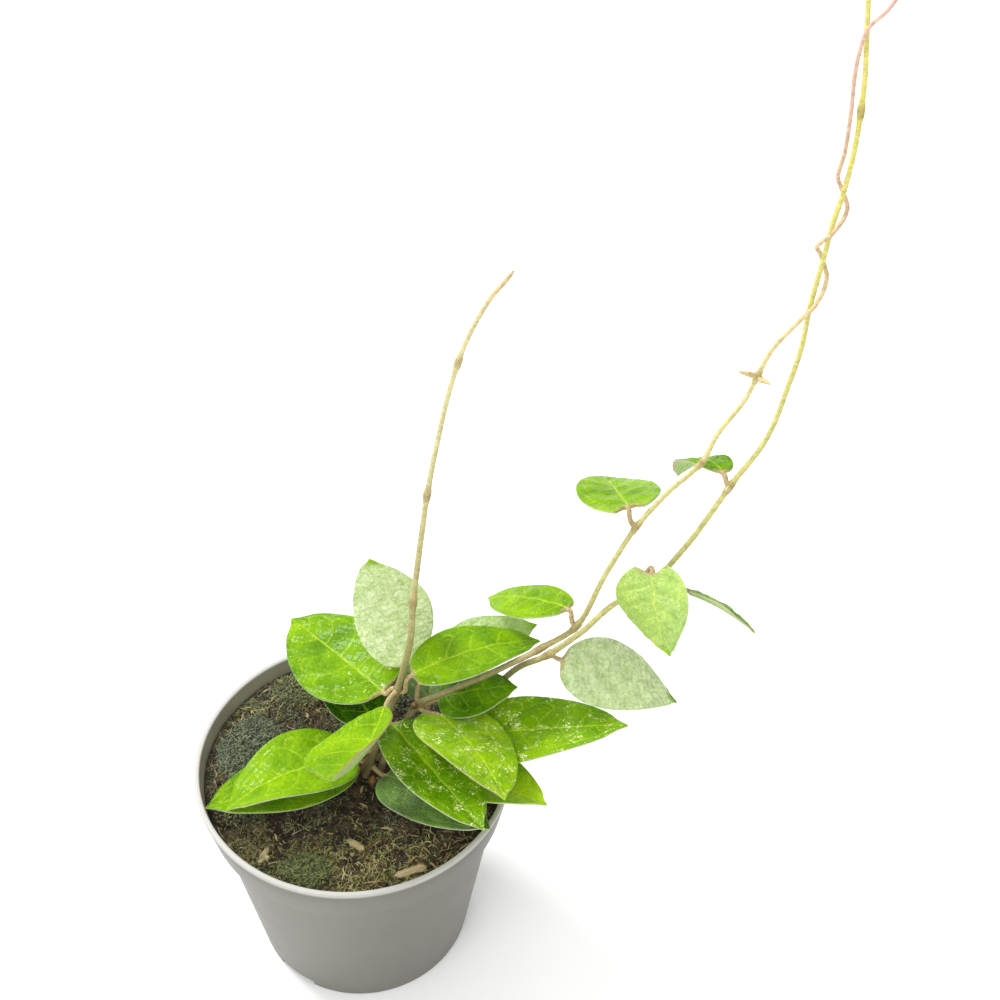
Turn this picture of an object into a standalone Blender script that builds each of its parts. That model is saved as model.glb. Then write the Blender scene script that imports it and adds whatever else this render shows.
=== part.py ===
"""A young hoya in a round nursery pot: pot, soil, moss, bark, three stems, a dry stem, buds and 21 leaves.

Every size below is in millimetres, and MM turns it into Blender's metres. The origin is the centre of
the pot's underside, +Z is up, and the plant leans towards +X and +Y.
"""

import math
from typing import NamedTuple

import bmesh
import bpy
from mathutils import Vector

MM = 0.001
GAP = 0.3  # what touching pieces keep between them

# Pot, a thin turned plastic shell
RIM_RADIUS = 60.0
RIM_HEIGHT = 97.0
BAND_BOTTOM_RADIUS = 57.0
BAND_BOTTOM = 80.0
LEDGE_RADIUS = 54.0
LEDGE_BOTTOM = 76.5
BASE_RADIUS = 42.8
WALL = 1.3
FLOOR = 1.4
FLOOR_CENTRE = 8.0  # radius of the one flat face at the middle of the floor
ROUND = 1.0  # bottom edge radius
POT_SEGMENTS = 48

# Drain pockets in the pot's bottom edge
POCKET_ANGLES = (-125.0, -5.0, 115.0)
POCKET_INNER = 31.5
POCKET_WIDTH = 17.0
POCKET_HEIGHT = 3.8
POCKET_WALL = 1.3
POCKET_OUTER = 40.5
DRAIN_RADIUS = 2.6
DRAIN_PLACE = 36.3

# Soil, a shallow dome inside the pot, banked up at the back left
SOIL_EDGE = 86.2
SOIL_RISE = 2.4
SOIL_SKIRT = 1.0  # how far under the edge the banked surface reaches
BANK_RISE = 4.5
BANK_TOWARDS = (-0.9, 0.45)
BANK_START = 15.0
BANK_END = 52.0
SOIL_CHAMFER = 0.5
SOIL_RINGS = 7
SOCKET_OVERSHOOT = 8.0  # how far the cutters of the stems' sockets stand above the edge
SOIL_TOP = 88.0  # where the stems come out, near the middle

# Leaves
LEAF_THICKNESS = 1.3
PETIOLE_RADIUS = 0.85
PETIOLE_RINGS = 3
BLADE_STATIONS = (0.0, 0.05, 0.14, 0.28, 0.44, 0.6, 0.75, 0.87, 0.95, 1.0)
ACROSS = (-1.0, -0.55, 0.0, 0.55, 1.0)
OUTLINE_POWERS = (0.5, 0.82)  # how fast the outline opens at the base and closes at the tip
TIP_SHARE = 0.15  # the last ring, as a share of the one before it
STALK_BEND = 0.45  # how far a stalk keeps its direction at each end, as a share of its length

# Stems
STEM_SIDES = 8
STEM_SPACING = 8.0
FOOT_DEPTH = 14.0
NODE_LENGTH = 2.6
TAPER = 0.4
TWINE_RADIUS = 2.75


class Stem(NamedTuple):
    """A stem as points to pass through, its radius at each end, and the indices of its swollen nodes."""

    points: tuple
    start_radius: float
    end_radius: float
    nodes: tuple
    swelling: float


class Leaf(NamedTuple):
    """A leaf: where it grows from, and the pose and shape of its blade."""

    stem: str
    node: int
    base: tuple
    tip: tuple
    width: float
    roll: float = 0.0
    arch: float = 4.0
    fold: float = 8.0
    twist: float = 0.0
    lobe: float = 0.0
    powers: tuple = OUTLINE_POWERS


TENDRIL = Stem(
    points=(
        (4.0, -1.4, SOIL_TOP - FOOT_DEPTH),
        (4.0, -1.4, SOIL_TOP),
        (5.5, -1.2, 95.0),
        (7.5, -0.6, 103.0),
        (12.5, 1.5, 119.0),
        (17.0, 4.0, 132.0),
        (20.2, 5.0, 146.5),
        (22.5, 6.0, 160.0),
        (23.5, 7.0, 175.6),
        (25.0, 8.0, 190.0),
        (27.0, 9.0, 207.5),
        (29.0, 10.0, 223.0),
        (31.5, 11.0, 238.7),
        (35.5, 12.0, 260.4),
        (39.0, 13.0, 274.3),
        (42.5, 14.0, 284.2),
        (48.3, 15.0, 296.2),
        (52.5, 16.0, 301.6),
        (55.0, 16.0, 305.6),
    ),
    start_radius=2.2,
    end_radius=0.7,
    nodes=(2, 3, 4, 5, 8, 11, 14),
    swelling=0.38,
)

STRAIGHT_VINE = Stem(
    points=(
        (8.5, 6.5, SOIL_TOP - FOOT_DEPTH),
        (8.5, 6.5, SOIL_TOP),
        (17.0, 10.0, 96.0),
        (29.0, 13.0, 103.0),
        (39.0, 18.0, 108.0),
        (47.0, 21.0, 114.0),
        (53.5, 21.0, 118.0),
        (61.5, 15.5, 133.5),
        (71.2, 7.6, 149.2),
        (82.5, 9.4, 159.5),
        (93.5, 12.4, 171.0),
        (105.0, 12.0, 180.5),
        (111.5, 12.5, 191.5),
        (119.5, 14.0, 206.0),
        (128.0, 16.0, 224.0),
        (138.0, 20.0, 241.5),
        (143.3, 24.5, 262.0),
        (145.5, 27.0, 274.0),
        (145.8, 28.0, 287.0),
        (147.2, 29.0, 302.0),
        (148.5, 30.0, 316.5),
        (149.8, 30.5, 325.0),
        (150.6, 31.0, 336.5),
        (150.4, 31.5, 350.5),
        (149.6, 32.0, 361.5),
        (147.6, 32.5, 376.0),
        (145.6, 33.0, 391.0),
        (144.2, 33.0, 403.0),
        (144.6, 32.0, 410.0),
    ),
    start_radius=1.7,
    end_radius=0.7,
    nodes=(3, 8, 11, 14, 23),
    swelling=0.35,
)

# The twining vine's free part, and then (height, angle round the straight vine) up its twining part
TWINING_START = (
    (9.4, 0.8, SOIL_TOP - FOOT_DEPTH),
    (9.4, 0.8, SOIL_TOP),
    (14.5, 4.0, 103.0),
    (24.0, 8.0, 119.0),
    (32.3, 8.0, 125.3),
    (46.9, 9.0, 134.2),
    (59.5, 9.6, 142.8),
    (68.5, 12.2, 147.2),
    (81.0, 14.2, 157.2),
    (89.5, 15.0, 182.0),
    (99.0, 17.5, 203.5),
    (109.0, 19.5, 218.5),
    (118.5, 20.3, 230.5),
    (122.3, 22.0, 240.5),
    (129.5, 22.5, 255.0),
    (132.5, 23.5, 264.0),
    (135.8, 24.0, 274.0),
)
TWINING_TURNS = (
    (284.0, 215.0),
    (290.0, 290.0),
    (297.0, 360.0),
    (303.0, 450.0),
    (308.0, 540.0),
    (314.0, 630.0),
    (320.0, 720.0),
    (325.0, 810.0),
    (330.0, 880.0),
    (338.0, 910.0),
    (350.0, 900.0),
    (362.0, 905.0),
    (370.0, 950.0),
    (375.5, 990.0),
)
TWINING_END = ((151.5, 28.5, 381.0), (154.5, 29.5, 386.5), (155.5, 30.0, 390.0))
TWINING_NODES = (3, 7, 8, 10, 12, 15)

DRY_STEM = Stem(
    points=(
        (0.6, -5.2, SOIL_TOP - 0.5 * FOOT_DEPTH),
        (0.6, -5.2, 89.0),
        (1.6, -5.6, 95.0),
        (4.4, -5.2, 100.0),
        (5.4, -6.4, 104.0),
        (3.6, -7.6, 105.5),
    ),
    start_radius=0.9,
    end_radius=0.6,
    nodes=(),
    swelling=0.0,
)

LEAVES = {
    "leaf_01": Leaf(
        "tendril", 5, (12.0, 5.0, 129.0), (-28.0, 49.0, 120.5), 38.0,
        roll=-10.0, arch=1.0, fold=4.0, twist=-6.0,
    ),
    "leaf_02": Leaf(
        "tendril", 5, (18.5, 14.8, 132.0), (7.5, 19.0, 184.0), 30.0,
        roll=-74.0, arch=-6.5, fold=-7.0, twist=-28.0,
    ),
    "leaf_03": Leaf(
        "tendril", 5, (22.0, 4.5, 139.5), (69.0, 22.5, 140.0), 27.5,
        roll=-8.0, arch=4.0, fold=5.0, twist=-8.0,
    ),
    "leaf_04": Leaf(
        "twining_vine", 3, (31.0, 19.0, 129.0), (68.0, 34.5, 136.0), 25.0, roll=-4.0, arch=3.0, fold=5.0,
    ),
    "leaf_05": Leaf(
        "twining_vine", 8, (78.0, 17.5, 162.5), (49.0, 42.0, 142.0), 21.0,
        roll=-2.0, arch=2.5, fold=-6.0, twist=-18.0,
    ),
    "leaf_06": Leaf(
        "straight_vine", 8, (76.0, 10.5, 143.5), (121.0, 13.0, 118.0), 27.0,
        roll=18.0, arch=3.5, fold=3.0, twist=-60.0,
    ),
    "leaf_07": Leaf(
        "straight_vine", 11, (105.0, 7.5, 192.0), (112.0, -9.0, 168.5), 37.0,
        roll=78.0, arch=1.5, fold=5.0, twist=30.0, lobe=0.12,
    ),
    "leaf_08": Leaf(
        "straight_vine", 11, (119.0, 12.0, 179.0), (141.0, -2.0, 173.5), 20.0,
        roll=-47.0, arch=1.5, fold=3.0,
    ),
    "leaf_09": Leaf(
        "twining_vine", 10, (96.0, 20.5, 209.5), (90.0, 62.0, 187.0), 29.0,
        roll=0.0, arch=1.0, fold=5.0, twist=20.0, lobe=0.12,
    ),
    "leaf_10": Leaf(
        "straight_vine", 14, (126.0, 20.5, 226.0), (114.5, 42.0, 205.5), 17.0,
        roll=12.0, arch=5.0, fold=5.0, twist=-6.0,
    ),
    "leaf_11": Leaf(
        "tendril", 5, (13.0, -1.5, 129.5), (-2.0, -42.0, 138.5), 36.0,
        roll=34.0, arch=-4.0, fold=28.0, twist=9.0, powers=(0.9, 0.5),
    ),
    "leaf_12": Leaf(
        "tendril", 3, (1.5, -4.0, 102.5), (-44.0, -29.0, 101.5), 33.0,
        roll=6.0, arch=6.0, fold=14.0, twist=18.0,
    ),
    "leaf_13": Leaf(
        "tendril", 2, (1.0, -1.0, 95.5), (-52.0, -26.0, 99.0), 32.0, roll=5.0, arch=0.0, fold=9.0,
    ),
    "leaf_14": Leaf(
        "tendril", 4, (14.5, -2.5, 121.0), (50.0, -45.5, 117.0), 32.0,
        roll=-14.0, arch=0.0, fold=13.0, twist=12.0,
    ),
    "leaf_15": Leaf(
        "twining_vine", 3, (32.0, 4.0, 118.5), (57.0, -39.5, 126.5), 35.0,
        roll=-22.0, arch=3.0, fold=4.0, twist=-16.0, lobe=0.06,
    ),
    "leaf_16": Leaf(
        "straight_vine", 3, (39.0, 2.0, 108.5), (101.0, -7.0, 128.5), 33.0,
        roll=-4.0, arch=1.0, fold=4.0, twist=-14.0,
    ),
    "leaf_17": Leaf(
        "twining_vine", 3, (31.0, 10.5, 119.5), (61.0, 12.5, 125.5), 25.0,
        roll=-6.0, arch=1.5, fold=-3.0, twist=-6.0,
    ),
    "leaf_18": Leaf(
        "tendril", 2, (11.5, -5.5, 93.8), (52.0, -33.0, 100.3), 31.0,
        roll=-4.0, arch=2.0, fold=8.0, twist=8.0,
    ),
    "leaf_19": Leaf(
        "straight_vine", 2, (29.0, 2.0, 102.0), (72.0, -32.0, 114.0), 29.0,
        roll=-4.0, arch=-2.0, fold=8.0, twist=-34.0,
    ),
    "leaf_20": Leaf(
        "tendril", 4, (8.0, 5.0, 110.0), (-12.0, 38.0, 107.0), 26.0, roll=0.0, arch=3.0, fold=6.0,
    ),
    "leaf_21": Leaf(
        "straight_vine", 3, (27.0, 18.5, 107.0), (31.0, 52.0, 110.0), 27.0, roll=0.0, arch=4.0, fold=6.0,
    ),
}

# Buds and stubs: stem, node, direction, length, radius
BUDS = {
    "shoot_bud_1": ("twining_vine", 15, (-0.9, -0.2, 0.4), 6.0, 0.8),
    "shoot_bud_2": ("twining_vine", 15, (0.6, -0.7, 0.3), 5.0, 0.8),
    "vine_bud": ("straight_vine", 14, (-0.3, -0.8, 0.6), 4.5, 0.8),
    "old_stub": ("twining_vine", 3, (0.3, -0.3, 0.9), 7.0, 1.0),
}

# Moss pads: centre x, y, radius, squash along y
MOSS_PADS = {
    "moss_pad_left": (-40.0, 6.0, 13.0, 1.25),
    "moss_pad_back": (-24.0, 38.0, 11.0, 0.75),
    "moss_pad_front": (-14.0, -44.0, 9.5, 0.75),
    "moss_pad_right": (36.0, 26.0, 11.0, 1.1),
}
MOSS_HEIGHT = 1.9
MOSS_EDGE = 0.5
MOSS_SEGMENTS = 20

# Bark chips: centre x, y, length, width, turn in degrees
BARK_CHIPS = {
    "bark_chip_1": (24.0, -43.0, 12.0, 4.5, 20.0),
    "bark_chip_2": (3.0, -33.0, 8.0, 3.6, -35.0),
    "bark_chip_3": (-30.0, -38.0, 7.0, 3.2, 70.0),
}
BARK_THICKNESS = 1.6

# Base colour, roughness
COLOURS = {
    "pot_plastic": ((0.30, 0.28, 0.26), 0.5),
    "soil": ((0.03, 0.02, 0.015), 0.95),
    "moss": ((0.10, 0.14, 0.05), 0.95),
    "bark": ((0.30, 0.18, 0.09), 0.85),
    "old_wood": ((0.36, 0.31, 0.19), 0.7),
    "vine": ((0.55, 0.52, 0.18), 0.5),
    "leaf": ((0.27, 0.46, 0.03), 0.3),
    "bud": ((0.50, 0.35, 0.14), 0.6),
}


def material(name):
    """The material of that name, made once."""
    found = bpy.data.materials.get(name)
    if found:
        return found
    colour, roughness = COLOURS[name]
    made = bpy.data.materials.new(name)
    made.use_nodes = True
    shader = made.node_tree.nodes["Principled BSDF"]
    shader.inputs["Base Color"].default_value = (*colour, 1.0)
    shader.inputs["Roughness"].default_value = roughness
    shader.inputs["Metallic"].default_value = 0.0
    return made


def finish(bm, name, material_name, parent, crease_angle=40.0):
    """Turns a bmesh in millimetres into a smooth-shaded object."""
    bmesh.ops.scale(bm, vec=(MM, MM, MM), verts=bm.verts)
    bmesh.ops.recalc_face_normals(bm, faces=bm.faces)
    mesh = bpy.data.meshes.new(name)
    bm.to_mesh(mesh)
    bm.free()
    mesh.shade_smooth()
    mesh.set_sharp_from_angle(angle=math.radians(crease_angle))
    obj = bpy.data.objects.new(name, mesh)
    bpy.context.scene.collection.objects.link(obj)
    obj.data.materials.append(material(material_name))
    obj.parent = parent
    return obj


def bridge(bm, rings):
    """Skins a row of rings of equal length, with a face over each end."""
    rows = [[bm.verts.new(point) for point in ring] for ring in rings]
    count = len(rows[0])
    for low, high in zip(rows, rows[1:]):
        for i in range(count):
            j = (i + 1) % count
            bm.faces.new((low[i], low[j], high[j], high[i]))
    bm.faces.new(rows[0])
    bm.faces.new(rows[-1])


def lathe(bm, profile, segments):
    """Turns a profile of (radius, height) round Z; its two ends are closed flat."""
    rings = []
    for radius, height in profile:
        ring = []
        for i in range(segments):
            angle = 2 * math.pi * i / segments
            ring.append((radius * math.cos(angle), radius * math.sin(angle), height))
        rings.append(ring)
    bridge(bm, rings)


def smooth_path(points, spacing):
    """A smooth curve through the points, with about one point every spacing. It keeps the points given."""
    given = [Vector(point) for point in points]
    padded = [2 * given[0] - given[1], *given, 2 * given[-1] - given[-2]]
    path = []
    for before, start, end, after in zip(padded, padded[1:], padded[2:], padded[3:]):
        length = (end - start).length
        start_slope = (end - before).normalized() * length
        end_slope = (after - start).normalized() * length
        steps = max(1, round(length / spacing))
        for step in range(steps):
            t = step / steps
            path.append(
                start * (2 * t**3 - 3 * t**2 + 1)
                + start_slope * (t**3 - 2 * t**2 + t)
                + end * (3 * t**2 - 2 * t**3)
                + end_slope * (t**3 - t**2)
            )
    path.append(given[-1])
    return path


def tangents(path):
    """Unit direction of the path at each of its points."""
    ahead = [*path[1:], 2 * path[-1] - path[-2]]
    behind = [2 * path[0] - path[1], *path[:-1]]
    return [(after - before).normalized() for before, after in zip(behind, ahead)]


def tube_rings(path, radii, sides):
    """Circles square to the path, turned as little as possible from one to the next."""
    rings = []
    side = Vector((1.0, 0.0, 0.0))
    for centre, tangent, radius in zip(path, tangents(path), radii):
        side = (side - tangent * side.dot(tangent)).normalized()
        other = tangent.cross(side)
        ring = []
        for i in range(sides):
            angle = 2 * math.pi * i / sides
            ring.append(centre + radius * (math.cos(angle) * side + math.sin(angle) * other))
        rings.append(ring)
    return rings


def twined_points():
    """The twining vine's points: its free part, its turns round the straight vine, and its free tip."""
    support = smooth_path(STRAIGHT_VINE.points, STEM_SPACING)
    turns = []
    for height, angle in TWINING_TURNS:
        above = next(i for i, point in enumerate(support) if point.z > height)
        low, high = support[above - 1], support[above]
        centre = low.lerp(high, (height - low.z) / (high.z - low.z))
        turn = math.radians(angle)
        turns.append(centre + TWINE_RADIUS * Vector((math.cos(turn), math.sin(turn), 0.0)))
    return (*TWINING_START, *turns, *TWINING_END)


def all_stems():
    """Every stem by name. The order is the order in which they are made."""
    twining = Stem(
        points=twined_points(), start_radius=1.8, end_radius=0.55, nodes=TWINING_NODES, swelling=0.35,
    )
    return {"tendril": TENDRIL, "twining_vine": twining, "straight_vine": STRAIGHT_VINE, "dry_stem": DRY_STEM}


def stem_radii(stem, path):
    """The radius at each point of the path: an even taper, and a swelling at each node."""
    radii = []
    swollen = [Vector(stem.points[node]) for node in stem.nodes]
    for i, point in enumerate(path):
        share = i / (len(path) - 1)
        radius = stem.start_radius + (stem.end_radius - stem.start_radius) * share**TAPER
        for node in swollen:
            radius += stem.swelling * math.exp(-(((point - node).length / NODE_LENGTH) ** 2))
        radii.append(radius)
    return radii


def make_stem(name, stem, parent, material_name):
    path = smooth_path(stem.points, STEM_SPACING)
    bm = bmesh.new()
    bridge(bm, tube_rings(path, stem_radii(stem, path), STEM_SIDES))
    return finish(bm, name, material_name, parent, crease_angle=70.0)


def node_frame(stem, node):
    """(centre, direction, radius) of the stem at one of its given points."""
    path = smooth_path(stem.points, STEM_SPACING)
    radii = stem_radii(stem, path)
    centre = Vector(stem.points[node])
    nearest = min(range(len(path)), key=lambda i: (path[i] - centre).length)
    return centre, tangents(path)[nearest], radii[nearest]


def leave_stem(stem, node, towards):
    """(start, direction) of a stalk that leaves the stem's skin square to it, towards a direction."""
    centre, along, radius = node_frame(stem, node)
    direction = (towards - along * towards.dot(along)).normalized()
    return centre + direction * (radius + GAP), direction


def half_width(share, powers):
    """The blade's half-width as a share of its largest, from base (0) to tip (1)."""
    opening, closing = powers
    widest = opening / (opening + closing)
    largest = widest**opening * (1 - widest) ** closing
    return share**opening * (1 - share) ** closing / largest


def blade_frame(leaf, share):
    """(midrib point, side, normal) of the blade at a share of its length."""
    base = Vector(leaf.base)
    chord = Vector(leaf.tip) - base
    along = chord.normalized()
    level = (Vector((0.0, 0.0, 1.0)) - along * along.z).normalized()
    turn = math.radians(leaf.roll + leaf.twist * (share - 0.5))
    across = along.cross(level)
    normal = math.cos(turn) * level + math.sin(turn) * across
    side = math.cos(turn) * across - math.sin(turn) * level
    return base + chord * share + normal * (leaf.arch * 4 * share * (1 - share)), side, normal


def blade_point(leaf, share, across, above):
    """A point of the blade: across runs from -1 to 1 between its edges, and above is its offset in mm."""
    centre, side, normal = blade_frame(leaf, share)
    length = (Vector(leaf.tip) - Vector(leaf.base)).length
    reach = 0.5 * leaf.width * half_width(share, leaf.powers)
    fold = math.radians(leaf.fold)
    back = (Vector(leaf.tip) - Vector(leaf.base)).normalized() * (
        leaf.lobe * length * across**2 * (1 - share) ** 3
    )
    outward = side * (across * reach * math.cos(fold))
    upward = normal * (abs(across) * reach * math.sin(fold) + above)
    return centre + outward + upward - back


def stalk_ring(centre, tangent, side, radius):
    """The stalk's section, its points in the same order as a blade ring's."""
    side = (side - tangent * side.dot(tangent)).normalized()
    normal = side.cross(tangent)
    ring = []
    for across in ACROSS:
        angle = math.pi / 2 * (1 - across)
        ring.append(centre + radius * (math.cos(angle) * side + math.sin(angle) * normal))
    for across in reversed(ACROSS[1:-1]):
        angle = -math.pi / 2 * (1 - across)
        ring.append(centre + radius * (math.cos(angle) * side + math.sin(angle) * normal))
    return ring


def blade_ring(leaf, share):
    """The blade's section: its top from edge to edge, then its underside back."""
    thickness = LEAF_THICKNESS * (1 - share) ** 0.35 + 0.25
    ring = []
    for across in ACROSS:
        ring.append(blade_point(leaf, share, across, 0.5 * thickness * (1 - abs(across))))
    for across in reversed(ACROSS[1:-1]):
        ring.append(blade_point(leaf, share, across, -0.5 * thickness * (1 - 0.6 * abs(across))))
    return ring


def make_leaf(name, leaf, stems, parent):
    """One leaf: its stalk and its blade as one lofted solid."""
    base = Vector(leaf.base)
    stem = stems[leaf.stem]
    start, leaving = leave_stem(stem, leaf.node, base - Vector(stem.points[leaf.node]))
    midrib_start = (blade_frame(leaf, BLADE_STATIONS[1])[0] - base).normalized()
    reach = (base - start).length
    side = blade_frame(leaf, 0.0)[1]
    rings = []
    for step in range(PETIOLE_RINGS):
        t = step / PETIOLE_RINGS
        bend_in = start + leaving * reach * STALK_BEND
        bend_out = base - midrib_start * reach * STALK_BEND
        near = start.lerp(bend_in, t).lerp(bend_in.lerp(bend_out, t), t)
        far = bend_in.lerp(bend_out, t).lerp(bend_out.lerp(base, t), t)
        centre = near.lerp(far, t)
        tangent = (far - near).normalized()
        rings.append(stalk_ring(centre, tangent, side, PETIOLE_RADIUS))
    rings.append(stalk_ring(base, midrib_start, side, PETIOLE_RADIUS))
    for share in BLADE_STATIONS[1:-1]:
        rings.append(blade_ring(leaf, share))
    tip_centre = blade_frame(leaf, 1.0)[0]
    rings.append([tip_centre.lerp(point, TIP_SHARE) for point in blade_ring(leaf, BLADE_STATIONS[-2])])
    bm = bmesh.new()
    bridge(bm, rings)
    return finish(bm, name, "leaf", parent, crease_angle=60.0)


def make_bud(name, stem, node, direction, length, radius, parent):
    """A short pointed shoot that stands on a stem's node."""
    start, leaving = leave_stem(stem, node, Vector(direction))
    end = start + leaving * length * 0.5 + Vector(direction).normalized() * length * 0.5
    path = [start, start + leaving * length * 0.25, start.lerp(end, 0.6), start.lerp(end, 0.85), end]
    radii = [radius, radius * 1.1, radius * 0.9, radius * 0.6, radius * 0.2]
    bm = bmesh.new()
    bridge(bm, tube_rings(path, radii, STEM_SIDES))
    return finish(bm, name, "bud", parent, crease_angle=70.0)


def make_basal_bud(parent):
    """A rounded bud on the soil between the stems' feet."""
    centre = Vector((6.8, -5.6, 0.0))
    bottom = soil_height(centre.x, centre.y) + GAP
    heights = (0.0, 0.8, 2.2, 3.8, 5.0)
    radii = (1.0, 1.6, 1.8, 1.2, 0.4)
    path = [Vector((centre.x + 0.1 * height, centre.y, bottom + height)) for height in heights]
    bm = bmesh.new()
    bridge(bm, tube_rings(path, radii, STEM_SIDES))
    return finish(bm, "basal_bud", "bud", parent, crease_angle=70.0)


def wall_radius(height):
    """The pot's outer radius at a height, below the ledge."""
    return BASE_RADIUS + (LEDGE_RADIUS - BASE_RADIUS) * height / LEDGE_BOTTOM


def pot_profile():
    """The shell's section from the middle of its floor, up inside, over the rim, down outside and under."""
    return (
        (FLOOR_CENTRE, FLOOR),
        (wall_radius(FLOOR) - WALL - 1.0, FLOOR),
        (wall_radius(FLOOR + 1.0) - WALL, FLOOR + 1.0),
        (wall_radius(40.0) - WALL, 40.0),
        (LEDGE_RADIUS - WALL, LEDGE_BOTTOM),
        (BAND_BOTTOM_RADIUS - WALL, BAND_BOTTOM + 1.0),
        (RIM_RADIUS - WALL - 0.8, RIM_HEIGHT - 2.5),
        (RIM_RADIUS - WALL - 0.8, RIM_HEIGHT - 0.5),
        (RIM_RADIUS - WALL - 0.3, RIM_HEIGHT),
        (RIM_RADIUS - 0.4, RIM_HEIGHT),
        (RIM_RADIUS, RIM_HEIGHT - 0.5),
        (RIM_RADIUS, RIM_HEIGHT - 2.2),
        (RIM_RADIUS - 0.8, RIM_HEIGHT - 2.8),
        (BAND_BOTTOM_RADIUS + 0.2, BAND_BOTTOM),
        (BAND_BOTTOM_RADIUS - 0.3, BAND_BOTTOM - 0.8),
        (LEDGE_RADIUS, LEDGE_BOTTOM),
        (wall_radius(40.0), 40.0),
        (wall_radius(ROUND), ROUND),
        (BASE_RADIUS - ROUND, 0.0),
        (FLOOR_CENTRE, 0.0),
    )


def pocket_box(bm, inner, outer, width, bottom, top, angle):
    """A box along a radius of the pot, from inner to outer."""
    turn = math.radians(angle)
    outward = Vector((math.cos(turn), math.sin(turn), 0.0))
    sideways = Vector((-math.sin(turn), math.cos(turn), 0.0))
    rings = []
    for height in (bottom, top):
        ring = []
        for reach, share in ((inner, -0.5), (outer, -0.5), (outer, 0.5), (inner, 0.5)):
            ring.append(outward * reach + sideways * (share * width) + Vector((0.0, 0.0, height)))
        rings.append(ring)
    bridge(bm, rings)


def boolean(obj, other, operation):
    """Applies one cutter or addition and removes its helper from the render."""
    other.hide_render = True
    other.display_type = "WIRE"
    modifier = obj.modifiers.new(other.name, "BOOLEAN")
    modifier.operation = operation
    modifier.object = other


def make_pot(parent):
    """The pot: a turned shell with three drain pockets under its edge."""
    bm = bmesh.new()
    lathe(bm, pot_profile(), POT_SEGMENTS)
    pot = finish(bm, "pot", "pot_plastic", parent, crease_angle=35.0)

    bm = bmesh.new()
    for angle in POCKET_ANGLES:
        width = POCKET_WIDTH + 2 * POCKET_WALL
        top = POCKET_HEIGHT + POCKET_WALL
        pocket_box(bm, POCKET_INNER - POCKET_WALL, POCKET_OUTER, width, 0.5, top, angle)
    boolean(pot, finish(bm, "helper_pocket_housings", "pot_plastic", parent), "UNION")

    bm = bmesh.new()
    for angle in POCKET_ANGLES:
        pocket_box(bm, POCKET_INNER, RIM_RADIUS, POCKET_WIDTH, -1.0, POCKET_HEIGHT, angle)
    boolean(pot, finish(bm, "helper_pockets", "pot_plastic", parent), "DIFFERENCE")

    bm = bmesh.new()
    for angle in POCKET_ANGLES:
        turn = math.radians(angle)
        place = Vector((DRAIN_PLACE * math.cos(turn), DRAIN_PLACE * math.sin(turn), 0.0))
        path = [place + Vector((0.0, 0.0, height)) for height in (1.0, POCKET_HEIGHT + 3.0)]
        bridge(bm, tube_rings(path, (DRAIN_RADIUS, DRAIN_RADIUS), 12))
    boolean(pot, finish(bm, "helper_drains", "pot_plastic", parent), "DIFFERENCE")
    return pot


def soil_radius():
    return RIM_RADIUS - WALL - 0.8 - GAP - (RIM_HEIGHT - 2.5 - SOIL_EDGE) * 0.11


def soil_bank(x, y):
    """How far the soil is banked up above a point."""
    reach = x * BANK_TOWARDS[0] + y * BANK_TOWARDS[1]
    share = min(1.0, max(0.0, (reach - BANK_START) / (BANK_END - BANK_START)))
    return BANK_RISE * share * share * (3 - 2 * share)


def soil_height(x, y):
    """The soil's surface above a point: a shallow dome and the bank."""
    return SOIL_EDGE + SOIL_RISE * (1 - (x * x + y * y) / soil_radius() ** 2) + soil_bank(x, y)


def make_soil(stems, parent):
    """The soil: it fills the pot, clear of the pockets' housings, and holds the stems' feet in sockets."""
    bottom = FLOOR + GAP
    profile = [
        (FLOOR_CENTRE, bottom),
        (wall_radius(bottom) - WALL - 1.4, bottom),
        (wall_radius(bottom + 1.5) - WALL - GAP - 0.3, bottom + 1.5),
        (wall_radius(40.0) - WALL - GAP, 40.0),
        (LEDGE_RADIUS - WALL - GAP, LEDGE_BOTTOM),
        (BAND_BOTTOM_RADIUS - WALL - GAP - 0.2, BAND_BOTTOM + 1.0 + GAP),
        (soil_radius() - SOIL_CHAMFER, SOIL_EDGE - SOIL_CHAMFER),
    ]
    for ring in range(SOIL_RINGS):
        radius = (soil_radius() - 0.9) * (1 - ring / SOIL_RINGS)
        profile.append((radius, soil_height(radius, 0.0)))
    bm = bmesh.new()
    lathe(bm, profile, POT_SEGMENTS)
    for vertex in bm.verts:
        if vertex.co.z > SOIL_EDGE - SOIL_SKIRT:
            vertex.co.z += soil_bank(vertex.co.x, vertex.co.y)
    soil = finish(bm, "soil", "soil", parent, crease_angle=50.0)

    bm = bmesh.new()
    for angle in POCKET_ANGLES:
        inner = POCKET_INNER - POCKET_WALL - GAP
        width = POCKET_WIDTH + 2 * (POCKET_WALL + GAP)
        pocket_box(bm, inner, RIM_RADIUS, width, 0.0, POCKET_HEIGHT + POCKET_WALL + GAP, angle)
    boolean(soil, finish(bm, "helper_housing_room", "soil", parent), "DIFFERENCE")

    bm = bmesh.new()
    for stem in stems.values():
        foot = Vector(stem.points[0]) - Vector((0.0, 0.0, GAP))
        path = [foot, foot + Vector((0.0, 0.0, SOIL_EDGE + SOCKET_OVERSHOOT - foot.z))]
        radius = (stem.start_radius + GAP) / math.cos(math.pi / STEM_SIDES) + 0.1
        bridge(bm, tube_rings(path, (radius, radius), STEM_SIDES))
    boolean(soil, finish(bm, "helper_sockets", "soil", parent), "DIFFERENCE")
    return soil


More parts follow.
